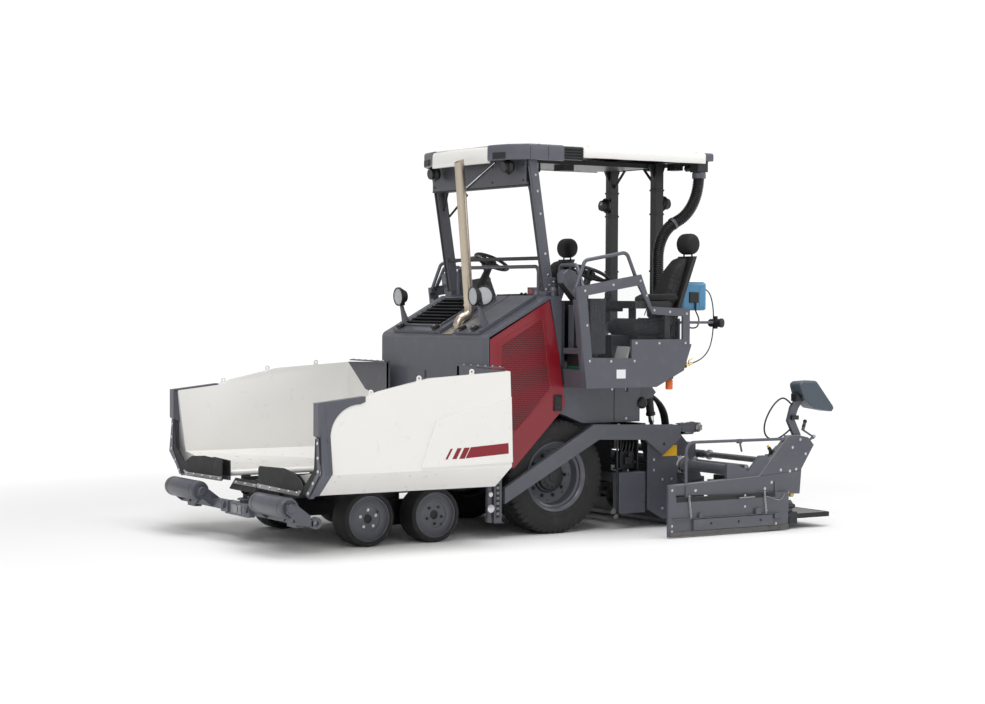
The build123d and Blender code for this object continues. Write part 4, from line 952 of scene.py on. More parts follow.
def canopyRoof():
    # white nose and side panels, grey corners and beaks, a ribbed joint between them, a top skin and a lining
    y = np.linspace(-0.49, 0.49, 13)
    nose = np.stack([0.51 - 0.014 * (y / 0.49) ** 2, y], axis=1)
    noseSection = [(0.03, 3.364), (0.004, 3.366), (0.0, 3.374), (0.003, 3.49), (0.012, 3.51),
                   (0.045, 3.522), (0.3, 3.53), (0.3, 3.522), (0.045, 3.506)]
    cornerSection = [(0.026, 3.386), (0.004, 3.387), (0.0, 3.394), (0.0, 3.506), (0.009, 3.523),
                     (0.03, 3.53), (0.2, 3.53), (0.2, 3.52), (0.026, 3.508)]
    panelSection = [(0.02, 3.426), (0.004, 3.427), (0.0, 3.433), (0.0, 3.508), (0.008, 3.522),
                    (0.026, 3.528), (0.3, 3.528), (0.3, 3.519), (0.02, 3.508)]
    ribSection = [(0.05, 3.4), (0.018, 3.402)]
    for z in (3.424, 3.45, 3.476, 3.502):
        ribSection += [(0.018, z - 0.01), (0.006, z - 0.006), (0.006, z + 0.006), (0.018, z + 0.01)]
    ribSection += [(0.018, 3.518), (0.05, 3.52)]
    roof = makeMesh("roofNose", *carried(nose, noseSection), whitePaint, "tractor")
    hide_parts("canopy_roof")
    corner = carried([(0.496, 0.49), (0.45, 0.72), (0.3, 0.9), (-0.07, 0.9)], cornerSection)
    beak = [(0.035, 3.452), (0.006, 3.453), (0.0, 3.46), (0.0, 3.512), (0.01, 3.526), (0.035, 3.53),
            (0.2, 3.53), (0.2, 3.52), (0.035, 3.51)]
    tail = carried([(-1.7, 0.9), (-1.79, 0.9), (-1.815, 0.87), (-1.8, 0.6)], beak)
    bothSides("roofCorner", joined(corner, tail), greyPaint, "tractor")
    bothSides("roofPanel", carried([(-0.29, 0.898), (-1.7, 0.898)], panelSection), whitePaint, "tractor")
    bothSides("roofRibs", carried([(-0.068, 0.894), (-0.292, 0.894)], ribSection), darkPaint, "tractor")
    rearEdge = carried([(-1.79, 0.62), (-1.79, -0.62)], panelSection)
    makeMesh("roofRear", *rearEdge, greyPaint, "tractor")
    plan = [(0.47, 0.47), (0.42, 0.7), (0.28, 0.86), (-1.77, 0.86)]
    plan += [(x, -w) for x, w in reversed(plan)]
    skin = joined(prism(plan, 3.5205, 3.527, "z"),
                  block((-0.3, -1.6), (-0.02, 0.02), (3.526, 3.5295)),
                  block((-0.3, -1.6), (0.42, 0.46), (3.526, 3.5295)),
                  block((-0.3, -1.6), (-0.46, -0.42), (3.526, 3.5295)))
    makeMesh("roofSkin", *skin, whitePaint, "tractor", bevel=0.001)
    makeMesh("roofLining", *prism(plan, 3.49, 3.494, "z"), blackPlastic, "tractor")
    # lamp pockets in the front corners and the black seal under the nose
    pocket = prism([(0.492, 0.57), (0.4515, 0.7225), (0.44, 0.716), (0.48, 0.565)], 3.396, 3.455, "z")
    seam = [block((0.1, 0.104), (0.8985, 0.9012), (3.392, 3.51)),
            block((0.295, 0.299), (0.896, 0.901), (3.392, 3.51))]
    bothSides("lampPocket", pocket, blackPlastic, "tractor")
    bothSides("roofSeams", joined(*seam), darkPaint, "tractor")
    caps = [(0.2, 0.895, 3.5295), (-0.35, 0.88, 3.5295), (-1.6, 0.88, 3.5295)]
    bothSides("roofBolts", bolts(caps, (0, 0, 1), 0.008, 0.0004), brightSteel, "tractor")


def canopyPosts():
    # grey skins on the front posts; gusset, brace and clips on the rear ones
    c = canopy
    low, high = (0.0025, 0.0925), (0.1925, 0.2775)
    y = (c["postY"] - 0.0325, c["postY"] + 0.0325)
    post = prism([(low[0], 2.205), (low[1], 2.205), (high[1], c["postTop"] + 0.06),
                  (high[0], c["postTop"] + 0.06)], *y)
    flange = prism([(low[1] - 0.004, 2.205), (low[1] + 0.012, 2.205), (high[1] + 0.012, 3.33),
                    (high[1] - 0.004, 3.33)], c["postY"] + 0.026, c["postY"] + 0.0335)
    foot = joined(block((-0.018, 0.112), (0.764, 0.876), (2.158, 2.204)),
                  block((-0.01, 0.104), (0.851, 0.858), (2.2, 2.33)))
    bothSides("frontPost", joined(post, flange, foot), greyPaint, "tractor", bevel=0.004)
    spots = [(0.048 + 0.1735 * t, c["postY"] + 0.0335,
              2.205 + 1.125 * t) for t in (0.05, 0.13, 0.3, 0.62, 0.8, 0.93)]
    spots += [(0.01, 0.858, 2.22), (0.01, 0.858, 2.29), (0.09, 0.858, 2.22)]
    bothSides("postBolts", bolts(spots, (0, 1, 0), 0.0085), brightSteel, "tractor")
    x, py = c["rearPostX"], c["rearPostY"]
    gusset = prism([(x - 0.1, 3.44), (x + 0.11, 3.44), (x + 0.047, 3.3), (x + 0.047, 3.2), (x - 0.047, 3.2),
                    (x - 0.047, 3.3)], py - 0.012, py + 0.012)
    brace = rod((x, py * 0.9, 3.24), (x, py * 0.35, 3.43), 0.013, 14)
    clips = [block((x - 0.052, x + 0.052), (py - 0.052, py + 0.052),
                   (z, z + 0.018)) for z in (2.4, 2.95, 3.18)]
    bothSides("rearPostParts", joined(gusset, brace, *clips), darkPaint, "tractor", bevel=0.002)


def visorParts():
    # visor in a grey paint a little darker than the body's, the darkening painted shade, with its seal,
    # bolts, strut and brace
    visor = joined(block((0.286, 0.2945), (-0.822, 0.822), (3.186, 3.42)),
                   block((0.262, 0.2945), (-0.822, 0.822), (3.166, 3.19)))
    makeMesh("visor", *visor, shadedGreyPaint, "tractor", bevel=0.003)
    seal = joined(block((0.17, 0.2955), (-0.824, 0.824), (3.156, 3.168)),
                  block((0.11, 0.135), (-0.8, 0.8), (2.486, 2.494)))
    makeMesh("visorSeal", *seal, flapRubber, "tractor", bevel=0.002)
    heads = bolts([(0.2945, y, z) for y in (-0.78, -0.26, 0.26, 0.78) for z in (3.205, 3.345)], (1, 0, 0),
                  0.007)
    makeMesh("visorBolts", *heads, darkPaint, "tractor")
    strut = joined(rod((0.305, -0.17, 3.18), (0.305, 0.09, 3.291), 0.01, 14),
                   rod((0.305, 0.085, 3.289), (0.305, 0.32, 3.388), 0.006, 14),
                   rod((0.296, -0.172, 3.18), (0.314, -0.172, 3.18), 0.013, 14))
    makeMesh("visorStrut", *strut, rodChrome, "tractor")
    rest = joined(rod((0.15, -0.42, 3.12), (0.15, -0.74, 2.93), 0.011, 12),
                  rod((0.15, -0.47, 3.15), (0.15, -0.42, 3.12), 0.011, 12))
    makeMesh("visorBrace", *rest, blackPlastic, "tractor")


def floodLamps():
    # flood lamps: two at the roof's front corners, one on each rear post
    dark, chrome, clear = [], [], []
    for centre, axis in (((0.4, 0.648, 3.326), (1, 0.1, -0.12)), ((0.4, -0.648, 3.326), (1, -0.1, -0.12)),
                         ((-1.63, 0.37, 3.062), (-1, 0.0, -0.1)), ((-1.41, -0.37, 3.064), (1, 0, -0.1))):
        for group, shape in zip((dark, chrome, clear), lampHead(centre, axis, 0.0535)):
            group.append(shape)
        x, y, z = centre
        dark.append(pipe([(x - 0.03 * np.sign(axis[0]), y, z + 0.075),
                          (x - 0.03 * np.sign(axis[0]), y, z - 0.07)], 0.009, 10))
    makeMesh("floodHousings", *joined(*dark), blackPlastic, "tractor")
    makeMesh("floodBowls", *joined(*chrome), reflector, "tractor")
    makeMesh("floodLenses", *joined(*clear), clearLens, "tractor")


def roofFittings():
    # wiring and fittings under the roof
    wires = [rod((-1.74, 0.55, 3.398), (-1.74, 0.72, 3.398), 0.03, 20),
             rod((-1.6, 0.3, 3.395), (-1.45, 0.3, 3.395), 0.02, 14),
             block((-1.72, -1.62), (0.4, 0.52), (3.38, 3.44)),
             block((-0.62, -0.5), (0.1, 0.26), (3.35, 3.4)),
             rod((-0.2, 0.3, 3.4), (-0.2, 0.3, 3.33), 0.01, 10),
             rod((-0.2, 0.3, 3.335), (-0.14, 0.3, 3.31), 0.014, 12)]
    makeMesh("roofFittings", *joined(*wires), blackPlastic, "tractor")


def bentPath(points, spacing):
    # quadratic spline that touches the middle of each inner run, resampled to even steps along its length
    p = np.asarray(points, dtype=float)
    knots = np.vstack([p[:1], (p[1:-2] + p[2:-1]) / 2, p[-1:]])
    t = np.linspace(0, 1, 40, endpoint=False)[:, None]
    line = np.vstack([(1 - t) ** 2 * knots[i] + 2 * t * (1 - t) * p[i + 1] + t ** 2 * knots[i + 1]
                      for i in range(len(knots) - 1)] + [p[-1:]])
    along = np.concatenate([[0], np.cumsum(np.linalg.norm(np.diff(line, axis=0), axis=1))])
    even = np.linspace(0, along[-1], max(2, int(round(along[-1] / spacing)) + 1))
    return np.stack([np.interp(even, along, line[:, k]) for k in range(3)], axis=1), even


def ductHose():
    # bellows: the hose's radius swells and shrinks once in each pitch along its path
    c = canopy
    path, along = bentPath([(-1.705, 0.788, 3.35), (-1.705, 0.788, 3.17), (-1.59, 0.755, 2.93),
                            (-1.4, 0.7, 2.83), (-1.29, 0.7, 2.64), (-1.29, 0.7, 2.4), (-1.29, 0.7, 1.56)],
                            c["ductPitch"] / 5)
    radius = c["ductRadius"] + 0.0042 * np.cos(along / c["ductPitch"] * 2 * math.pi)
    hose = makeMesh("ductHose", *pipe(path, radius, 30), hosePlastic, "tractor", angle=70)
    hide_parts("duct_hose")
    middle = int(np.argmin(np.linalg.norm(path - np.array([-1.455, 0.715, 2.858]), axis=1)))
    turn = path[middle + 4] - path[middle - 4]
    band = closedLathe([(0.056, -0.014), (0.0605, -0.014), (0.0605, 0.014), (0.056, 0.014)], path[middle],
                       turn, 36)
    collar = closedLathe([(0.05, 0), (0.066, 0), (0.066, 0.05), (0.058, 0.06), (0.05, 0.06)],
                         (-1.705, 0.788, 3.29), (0, 0, 1), 36)
    makeMesh("ductBands", *joined(band, collar), greyPaint, "tractor")


# grey paint a little darker for the visor: the darkening is painted shade
shadedGreyPaint = newMaterial("shadedGreyPaint", (0.085, 0.088, 0.104), 0.34, coat=0.3, grain=0.006)
canopyRoof()
canopyPosts()
visorParts()
floodLamps()
roofFittings()
ductHose()
print("canopy made")


# station: seats, dashes and side panels

seat = {"y": 1.0, "voxel": 0.006, "pressure": 4.0, "frames": 20, "cap": 0.016,
        "topX": -1.09 - 0.25 / 0.505 * (2.54 - 1.935)}


def roundedForm(outline, width, inset, rows=10):
    # side outline of (x, z) points swept across y; it shrinks towards both ends, so the edges are round
    outline = np.asarray(outline, dtype=float)
    middle = outline.mean(axis=0)
    t = np.linspace(-1, 1, rows)
    shrink = 1 - inset * np.abs(t) ** 5
    flat = middle + (outline[None] - middle) * shrink[:, None, None]
    y = np.broadcast_to((width(flat[:, :, 1]) * t[:, None])[:, :, None], (rows, len(outline), 1))
    points = np.concatenate([flat[:, :, :1], y, flat[:, :, 1:]], axis=2).reshape(-1, 3)
    n = len(outline)
    ends = [tuple(range(n)), tuple(range((rows - 1) * n, rows * n))]
    return points, gridFaces(rows, n, wrapCols=True) + ends


def inflate(piece):
    # voxel remesh, cloth with inner pressure and no gravity, each point's move capped
    remesh = piece.modifiers.new("even", "REMESH")
    remesh.mode, remesh.voxel_size = "VOXEL", seat["voxel"]
    bpy.context.view_layer.update()
    depsgraph = bpy.context.evaluated_depsgraph_get()
    even = bpy.data.meshes.new_from_object(piece.evaluated_get(depsgraph))
    piece.modifiers.clear()
    materials = list(piece.data.materials)
    piece.data = even
    start = np.empty(len(even.vertices) * 3)
    even.vertices.foreach_get("co", start)
    cloth = piece.modifiers.new("cloth", "CLOTH")
    cloth.settings.use_pressure = True
    cloth.settings.uniform_pressure_force = seat["pressure"]
    cloth.settings.effector_weights.gravity = 0.0
    cloth.point_cache.frame_start, cloth.point_cache.frame_end = 1, seat["frames"]
    scene = bpy.context.scene
    for step in range(1, seat["frames"] + 1):
        scene.frame_set(step)
    swollen = bpy.data.meshes.new_from_object(piece.evaluated_get(bpy.context.evaluated_depsgraph_get()))
    piece.modifiers.clear()
    end = np.empty(len(swollen.vertices) * 3)
    swollen.vertices.foreach_get("co", end)
    move = (end - start).reshape(-1, 3)
    size = np.linalg.norm(move, axis=1)[:, None]
    move *= np.minimum(1.0, seat["cap"] / np.maximum(size, 1e-9))
    even.vertices.foreach_set("co", (start.reshape(-1, 3) + move).ravel())
    scene.frame_set(1)
    even.shade_smooth()
    even.materials.clear()
    even.materials.append(materials[0])


def seatPads():
    # cushion, back and headrest as rounded forms, swollen as cloth
    top = seat["topX"]
    cushion = [(-1.044, 1.812), (-0.62, 1.812), (-0.604, 1.85), (-0.612, 1.925), (-0.65, 1.948),
               (-0.82, 1.93), (-1.0, 1.918), (-1.044, 1.9)]
    back = [(-1.076, 1.946), (-1.02, 1.948), (-1.036, 2.04), (-1.11, 2.22), (-1.212, 2.42), (-1.29, 2.515),
            (-1.34, 2.53), (-1.372, 2.524), (-1.3, 2.362), (-1.16, 2.078)]
    t = np.arange(24) * 2 * math.pi / 24
    head = np.stack([top - 0.026 + 0.082 * np.cos(t), 2.655 + 0.1 * np.sin(t)], axis=1)
    forms = (("cushion", cushion, lambda z: 0.212 + 0 * z, 0.16),
             ("back", back, lambda z: 0.178 - 0.085 * np.clip((z - 1.99) / 0.55, 0, 1), 0.22),
             ("headrest", head, lambda z: 0.106 + 0 * z, 0.36))
    for side, sign in sides.items():
        for name, outline, width, inset in forms:
            points, faces = roundedForm(outline, width, inset)
            points[:, 1] += sign * seat["y"]
            pad = makeMesh(f"seat{name.capitalize()}_{side}", points, faces, seatCover, "tractor")
            inflate(pad)
            if side == "left" and name == "cushion":
                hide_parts("seat_pads")
        # piping along the seams, drawn on the swollen form's own box
        y = sign * seat["y"]
        seams = []
        for t in (-1, 1):
            edge = [(x - 0.012, y + t * (0.172 - 0.08 * max(0, (z - 1.99) / 0.55)), z) for x,
                    z in ((-1.026, 1.985), (-1.06, 2.08), (-1.136, 2.245), (-1.236, 2.43))]
            seams.append(pipe(smoothPath(edge), 0.0045, 6))
        makeMesh(f"seatPiping_{side}", *joined(*seams), blackPlastic, "tractor")


steering = {"radius": 0.172, "rim": 0.0165, "columnX": -0.2, "columnZ": 2.0,
            "heads": ((-0.35, 0.92, 2.37), (-0.45, -0.92, 2.5))}


def steeringWheels():
    # rim, three spokes, a domed hub and a knob on each tilted column
    parts = []
    radius = steering["radius"]
    for head in steering["heads"]:
        y = head[1]
        axis = np.array(head) - np.array([steering["columnX"], y, steering["columnZ"]])
        a, b, d = frameOf(axis)
        t = np.arange(56) * 2 * math.pi / 56
        centre = np.array(head)
        rim = centre + radius * (np.cos(t)[:, None] * a + np.sin(t)[:, None] * b)
        s = np.arange(12) * 2 * math.pi / 12
        out = (rim - centre) / radius
        sweep = np.cos(s)[None, :, None] * out[:, None] + np.sin(s)[None, :, None] * d
        ring = rim[:, None] + steering["rim"] * sweep
        parts.append((ring.reshape(-1, 3), gridFaces(56, 12, wrapRows=True, wrapCols=True)))
        for k in range(3):
            turn = k * 2 * math.pi / 3 + 0.5
            parts.append(rod(centre - 0.01 * d, centre + 0.165 * (math.cos(turn) * a + math.sin(turn) * b),
                             0.014, 10, 0.01))
        parts.append(lathe([(0, -0.06), (0.042, -0.058), (0.05, -0.02), (0.048, 0.012), (0.03, 0.022),
                            (0, 0.024)], centre, axis, 30))
        knob = centre + radius * a + 0.02 * d
        parts.append(lathe([(0, 0), (0.016, 0.002), (0.022, 0.018), (0.02, 0.034), (0, 0.042)], knob, axis,
                           20))
        parts.append(pipe([centre - 0.055 * d, centre - 0.3 * d, (-0.205, y, 2.02)], [0.03, 0.038, 0.052],
                          18))
    makeMesh("steeringWheels", *joined(*parts), blackPlastic, "tractor")


def dashes():
    # hoods over the instrument boxes, their dark screens, and levers
    hood = prism([(-0.098, 1.7), (-0.098, 2.122), (0.042, 2.274), (0.053, 2.362), (-0.01, 2.404),
                  (-0.082, 2.388), (-0.238, 2.203), (-0.238, 1.7)], 0.961, 1.064)
    bothSides("dashHood", hood, greyPaint, "tractor", bevel=0.012)
    screen = joined(prism([(-0.09, 2.384), (-0.226, 2.214), (-0.232, 2.219), (-0.096, 2.39)], 0.975, 1.05),
                    rod((-0.16, 1.0, 2.302), (-0.178, 1.0, 2.316), 0.02, 18))
    bothSides("dashScreen", screen, blackPlastic, "tractor", bevel=0.002)
    box = joined(block((-0.3, -0.1), (1.085, 1.22), (1.92, 2.1)),
                 block((-0.25, -0.15), (1.1, 1.2), (1.42, 1.92)),
                 block((-0.86, -0.56), (0.7, 0.74), (2.02, 2.09)),
                 block((-0.9, -0.62), (1.245, 1.27), (2.05, 2.12)))
    bothSides("dashSide", box, blackPlastic, "tractor", bevel=0.01)
    rest = joined(prism([(-0.69, 2.118), (-0.7, 2.158), (-0.76, 2.182), (-1.12, 2.19), (-1.15, 2.16),
                         (-1.14, 2.13), (-1.08, 2.118)], 1.13, 1.205),
                  rod((-1.01, 1.16, 2.115), (-1.01, 1.16, 2.03), 0.042, 24),
                  prism([(-0.98, 1.9), (-0.98, 2.11), (-1.06, 2.11), (-1.1, 1.9)], 1.185, 1.225))
    bothSides("armRest", rest, seatCover, "tractor", bevel=0.014)
    levers = []
    for x, lean in ((-0.64, -0.03), (-0.7, 0.02), (-0.76, 0.03)):
        levers += [rod((x, 0.72, 2.09), (x + lean, 0.72, 2.17), 0.006, 10),
                   lathe([(0, 0), (0.012, 0.002), (0.016, 0.016), (0.013, 0.03), (0, 0.035)],
                         (x + lean, 0.72, 2.165), (lean, 0, 0.08), 16)]
    bothSides("levers", joined(*levers), blackPlastic, "tractor")
    # middle dash: top plate, gauges and the fan guard
    gauges = [lathe([(0, 0.012), (0.04, 0.012), (0.046, 0.008), (0.046, 0)], (-0.165, g, 2.06), (0, 0, 1),
                    24) for g in (-0.4, -0.2, 0, 0.2, 0.4)]
    top = joined(block((-0.245, -0.085), (-0.565, 0.565), (2.052, 2.066)), *gauges)
    makeMesh("dashTop", *top, blackPlastic, "tractor", bevel=0.003)


def sidePanels():
    # clear sheet with its bolts, and a blank plate
    pane = [(-0.095, 1.592), (-0.565, 1.582), (-0.565, 1.752), (-1.147, 1.752), (-1.147, 1.995),
            (-0.79, 2.018), (-0.632, 2.282), (-0.034, 2.184)]
    frameLine = [(-0.085, 1.58), (-0.32, 1.576), (-0.58, 1.575), (-0.6, 1.738), (-0.86, 1.735),
                 (-1.16, 1.735), (-1.172, 2.005), (-0.98, 2.022), (-0.8, 2.035), (-0.715, 2.17),
                 (-0.642, 2.302), (-0.34, 2.262), (-0.03, 2.208), (-0.055, 1.9)]
    sheet = prism(pane, 1.2865, 1.2905)
    glass = bothSides("windowGlass", sheet, clearSheet, "tractor", smooth=False)
    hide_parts("window")
    sideBolts("windowBolts", frameLine, 1.3, brightSteel, "tractor", 0.0085, 0.006)
    plate = block((-0.48, -0.38), (1.3003, 1.3018), (1.42, 1.5))
    bothSides("blankPlate", plate, labelWhite, "tractor")


def sideSteps():
    # perforated step, ledge, the dark plates behind them and the pads
    step = prism([(-0.12, 1.545), (-0.52, 1.545), (-0.56, 1.7), (-0.545, 1.706), (-0.5, 1.556),
                  (-0.12, 1.556)], 1.02, 1.262)
    bothSides("footStep", step, perforated, "tractor")
    ledge = joined(block((-0.094, -0.03), (0.948, 1.272), (1.64, 1.692)),
                   block((-0.3, -0.09), (0.95, 1.03), (1.64, 2.08)))
    bothSides("ledge", ledge, greyPaint, "tractor", bevel=0.004)
    dark = joined(block((-0.09, -0.08), (0.948, 1.275), (1.495, 1.645)),
                  block((-0.3, -0.13), (1.032, 1.24), (1.64, 2.14)))
    bothSides("ledgeBack", dark, darkPaint, "tractor", bevel=0.004)
    inner = joined(block((-0.33, -0.3), (0.3, 0.945), (1.56, 2.12)),
                   block((-1.08, -0.48), (0.7, 1.08), (1.57, 1.806)),
                   block((-1.145, -1.125), (0.6, 1.24), (1.6, 1.96)))
    bothSides("innerPanels", inner, darkPaint, "tractor", bevel=0.006)
    strip = joined(block((-0.08, -0.066), (0.985, 1.262), (1.512, 1.53)),
                   block((-0.08, -0.062), (0.955, 1.268), (1.5, 1.51)))
    bothSides("ledgePads", strip, greenRubber, "tractor", bevel=0.002)


def sideLamps():
    # door hinge, the orange lamp under the tail, and a rod with a round work light behind the panel
    hinge = joined(rod((0.06, 0.925, 2.02), (0.06, 0.925, 2.205), 0.02, 18),
                   lathe([(0, -0.03), (0.022, -0.026), (0.032, 0), (0.022, 0.026), (0, 0.03)],
                         (0.06, 0.925, 2.215), (0, 0, 1), 24))
    bothSides("doorHinge", hinge, greyPaint, "tractor")
    lamp = lathe([(0, -0.05), (0.028, -0.049), (0.034, -0.04), (0.034, 0.034), (0.026, 0.046), (0, 0.05)],
                 (-1.04, 1.215, 1.355), (0, 0, 1), 30)
    bothSides("sideLamp", lamp, orangeLens, "tractor")
    base = joined(rod((-1.04, 1.215, 1.404), (-1.04, 1.215, 1.425), 0.038, 26),
                  block((-1.06, -1.02), (1.195, 1.235), (1.42, 1.5)))
    bothSides("sideLampBase", base, blackPlastic, "tractor")
    arm = rod((-1.2, 1.0, 1.92), (-1.745, 1.0, 1.92), 0.013, 16)
    bothSides("rearArm", arm, greyPaint, "tractor")
    head = joined(lathe([(0, -0.075), (0.03, -0.073), (0.038, -0.06), (0.04, 0.045), (0.044, 0.05),
                         (0.044, 0.07), (0.03, 0.078), (0, 0.08)], (-1.755, 1.0, 1.915), (-0.35, 0.9, 0),
                         30),
                  block((-1.765, -1.735), (0.985, 1.015), (1.86, 1.98)))
    bothSides("rearArmHead", head, blackPlastic, "tractor")


def toolBox():
    # rounded blue case with ribs, a black middle unit and its lead
    case = makeMesh("toolCase", *block((-1.725, -1.425), (0.705, 0.895), (2.032, 2.298)), bluePlastic,
                    "tractor", bevel=0.022)
    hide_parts("tool_box")
    ribs = [block((-1.729, -1.421), (0.76, 0.775), (2.06, 2.27)),
            block((-1.729, -1.421), (0.825, 0.84), (2.06, 2.27)),
            block((-1.69, -1.64), (0.894, 0.898), (2.06, 2.27)),
            block((-1.5, -1.45), (0.894, 0.898), (2.06, 2.27)),
            block((-1.7, -1.45), (0.72, 0.88), (2.296, 2.302))]
    makeMesh("toolCaseRibs", *joined(*ribs), bluePlastic, "tractor", bevel=0.004)
    unit = joined(block((-1.625, -1.515), (0.894, 0.906), (2.105, 2.205)),
                  rod((-1.585, 0.905, 2.03), (-1.585, 0.905, 2.105), 0.009, 12),
                  block((-1.56, -1.5), (0.415, 0.705), (2.06, 2.12)))
    makeMesh("toolCaseUnit", *unit, blackPlastic, "tractor", bevel=0.004)
    loop = pipe(smoothPath([(-1.585, 0.905, 2.03), (-1.6, 0.935, 1.95), (-1.56, 0.96, 1.88),
                            (-1.48, 0.96, 1.87), (-1.4, 0.93, 1.92)]), 0.007, 10)
    makeMesh("toolLead", *loop, hoseRubber, "tractor")


def sprayNozzle():
    # brass grip, lever and collar at the hose's end
    end, last = np.array(sprayRoute[-1]), np.array(sprayRoute[-2])
    ahead = (end - last) / np.linalg.norm(end - last)
    grip = [rod(end - 0.02 * ahead, end + 0.022 * ahead, 0.0135, 8),
            rod(end + 0.02 * ahead, end + 0.06 * ahead, 0.01, 16),
            rod(end + 0.055 * ahead, end + 0.075 * ahead, 0.015, 8),
            rod(end + 0.03 * ahead, end + 0.02 * ahead + np.array([0, 0, 0.035]), 0.005, 10),
            rod(end + 0.02 * ahead + np.array([0, 0, 0.034]), end - 0.045 * ahead + np.array([0, 0, 0.042]),
                0.0055, 10)]
    hold = block((-1.2, -1.15), (1.255, 1.2745), (1.505, 1.56))
    gun = makeMesh("sprayGun", *joined(*grip), brass, "tractor")
    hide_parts("spray_gun")
    makeMesh("sprayHold", *hold, darkPaint, "tractor", bevel=0.003)


def bodyDetails():
    # seam, skin and bolts of the body's rear door, the floor's clip and the lift's valve
    seam = block((-0.644, -0.64), (0.8995, 0.9012), (1.004, 1.334))
    bothSides("bodySeam", seam, blackPlastic, "tractor")
    door = block((-0.648, -0.8), (0.8995, 0.903), (1.006, 1.33))
    bothSides("bodyDoor", door, greyPaint, "tractor", bevel=0.002)
    heads = bolts([(-0.78, 0.903, 1.305), (-0.78, 0.903, 1.03), (-0.62, 0.9, 1.305)], (0, 1, 0), 0.008)
    bothSides("bodyBolts", heads, brightSteel, "tractor")
    eye = block((-0.6, -0.56), (1.2, 1.235), (1.29, 1.336))
    bothSides("floorClip", eye, greyPaint, "tractor", bevel=0.003)
    unit = joined(lathe([(0, 0), (0.045, 0.004), (0.055, 0.02), (0.055, 0.075), (0.04, 0.09), (0, 0.095)],
                        (-0.965, 0.835, 1.17), (0, 1, 0), 26),
                  block((-1.0, -0.938), (0.8, 0.85), (1.14, 1.21)),
                  block((-0.985, -0.938), (0.66, 0.7), (1.06, 1.3)))
    bothSides("liftValve", unit, blackPlastic, "tractor", bevel=0.003)


labelWhite = newMaterial("labelWhite", (0.8, 0.82, 0.84), 0.35, grain=0, mottle=0.01)
greenRubber = newMaterial("greenRubber", (0.01, 0.1, 0.055), 0.6, grain=0.03)
perforated = newMaterial("perforated", (0.62, 0.62, 0.62), 0.38, metal=0.4, grain=0.02)
seatPads()
steeringWheels()
dashes()
sidePanels()
sideSteps()
sideLamps()
toolBox()
sprayNozzle()
bodyDetails()
print("station made")

# plain steelwork: each node's own shape with its edges rounded

def softened(node, width=0.003, finish=None, second=None, pick=None):
    # the node's triangles merged into flat faces, then bevelled
    # pick(centres) says which faces take the second finish
    body = nodes[node]["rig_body"]
    merged = bmesh.new()
    merged.from_mesh(nodes[node].data)
    bmesh.ops.remove_doubles(merged, verts=merged.verts, dist=2e-5)
    bmesh.ops.dissolve_limit(merged, angle_limit=math.radians(1.5), verts=merged.verts, edges=merged.edges)
    mesh = bpy.data.meshes.new(node + "Soft")
    merged.to_mesh(mesh)
    merged.free()
    mesh.materials.append(finish or slotFinish[slotOf[node]])
    if second:
        mesh.materials.append(second)
        centres = np.empty(len(mesh.polygons) * 3)
        mesh.polygons.foreach_get("center", centres)
        chosen = pick(centres.reshape(-1, 3) - np.array([shiftX, 0, 0]))
        mesh.polygons.foreach_set("material_index", chosen.astype(np.int32))
    piece = bpy.data.objects.new(node + "Soft", mesh)
    bpy.context.scene.collection.objects.link(piece)
    if width:
        roundEdges(piece, width, 40).harden_normals = True
    mesh.shade_smooth()
    mesh.set_sharp_from_angle(angle=math.radians(40))
    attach(piece, body)
    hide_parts(node)
    return piece


def nearLine(points, x, z, radius):
    # true for points within a radius of a line across the machine
    return np.hypot(points[:, 0] - x, points[:, 2] - z) < radius


def steelwork():
    # width of the bevel for each of the frame's solids that is shown rounded
    widths = {"body": 0.004, "platform": 0.003, "tow_arms": 0.003, "tow_columns": 0.003, "stowage": 0.006,
              "screed": 0.003, "push_beam": 0.004, "chassis": 0.003, "auger_frame": 0.003, "console": 0.004,
              "seat_frame": 0.006, "canopy_frame": 0.004, "bonnet": 0.0, "lid_left": 0.003,
              "lid_right": 0.003, "side_door_left": 0.003, "side_door_right": 0.003, "wing_left": 0.003,
              "wing_right": 0.003, "wing_ear_left": 0.0025, "wing_ear_right": 0.0025,
              "end_gate_left": 0.0025, "end_gate_right": 0.0025}
    for node, width in widths.items():
        softened(node, width, greyPaint if node.startswith("wing_ear") else None)
    for side, sign in sides.items():
        def tubes(p, sign=sign):
            return (sign * p[:, 1] < 1.66) & nearLine(p, guides[1][0], guides[1][2], 0.0295)
        softened(f"extension_{side}", 0.0025, second=bareSteel, pick=tubes)
    print("steelwork rounded")


# augers and screed

auger = {"x": -1.12, "z": 0.275, "inner": 0.037, "outer": 0.137, "low": 0.075, "high": 0.845,
         "pitch": 0.235, "thick": 0.011}


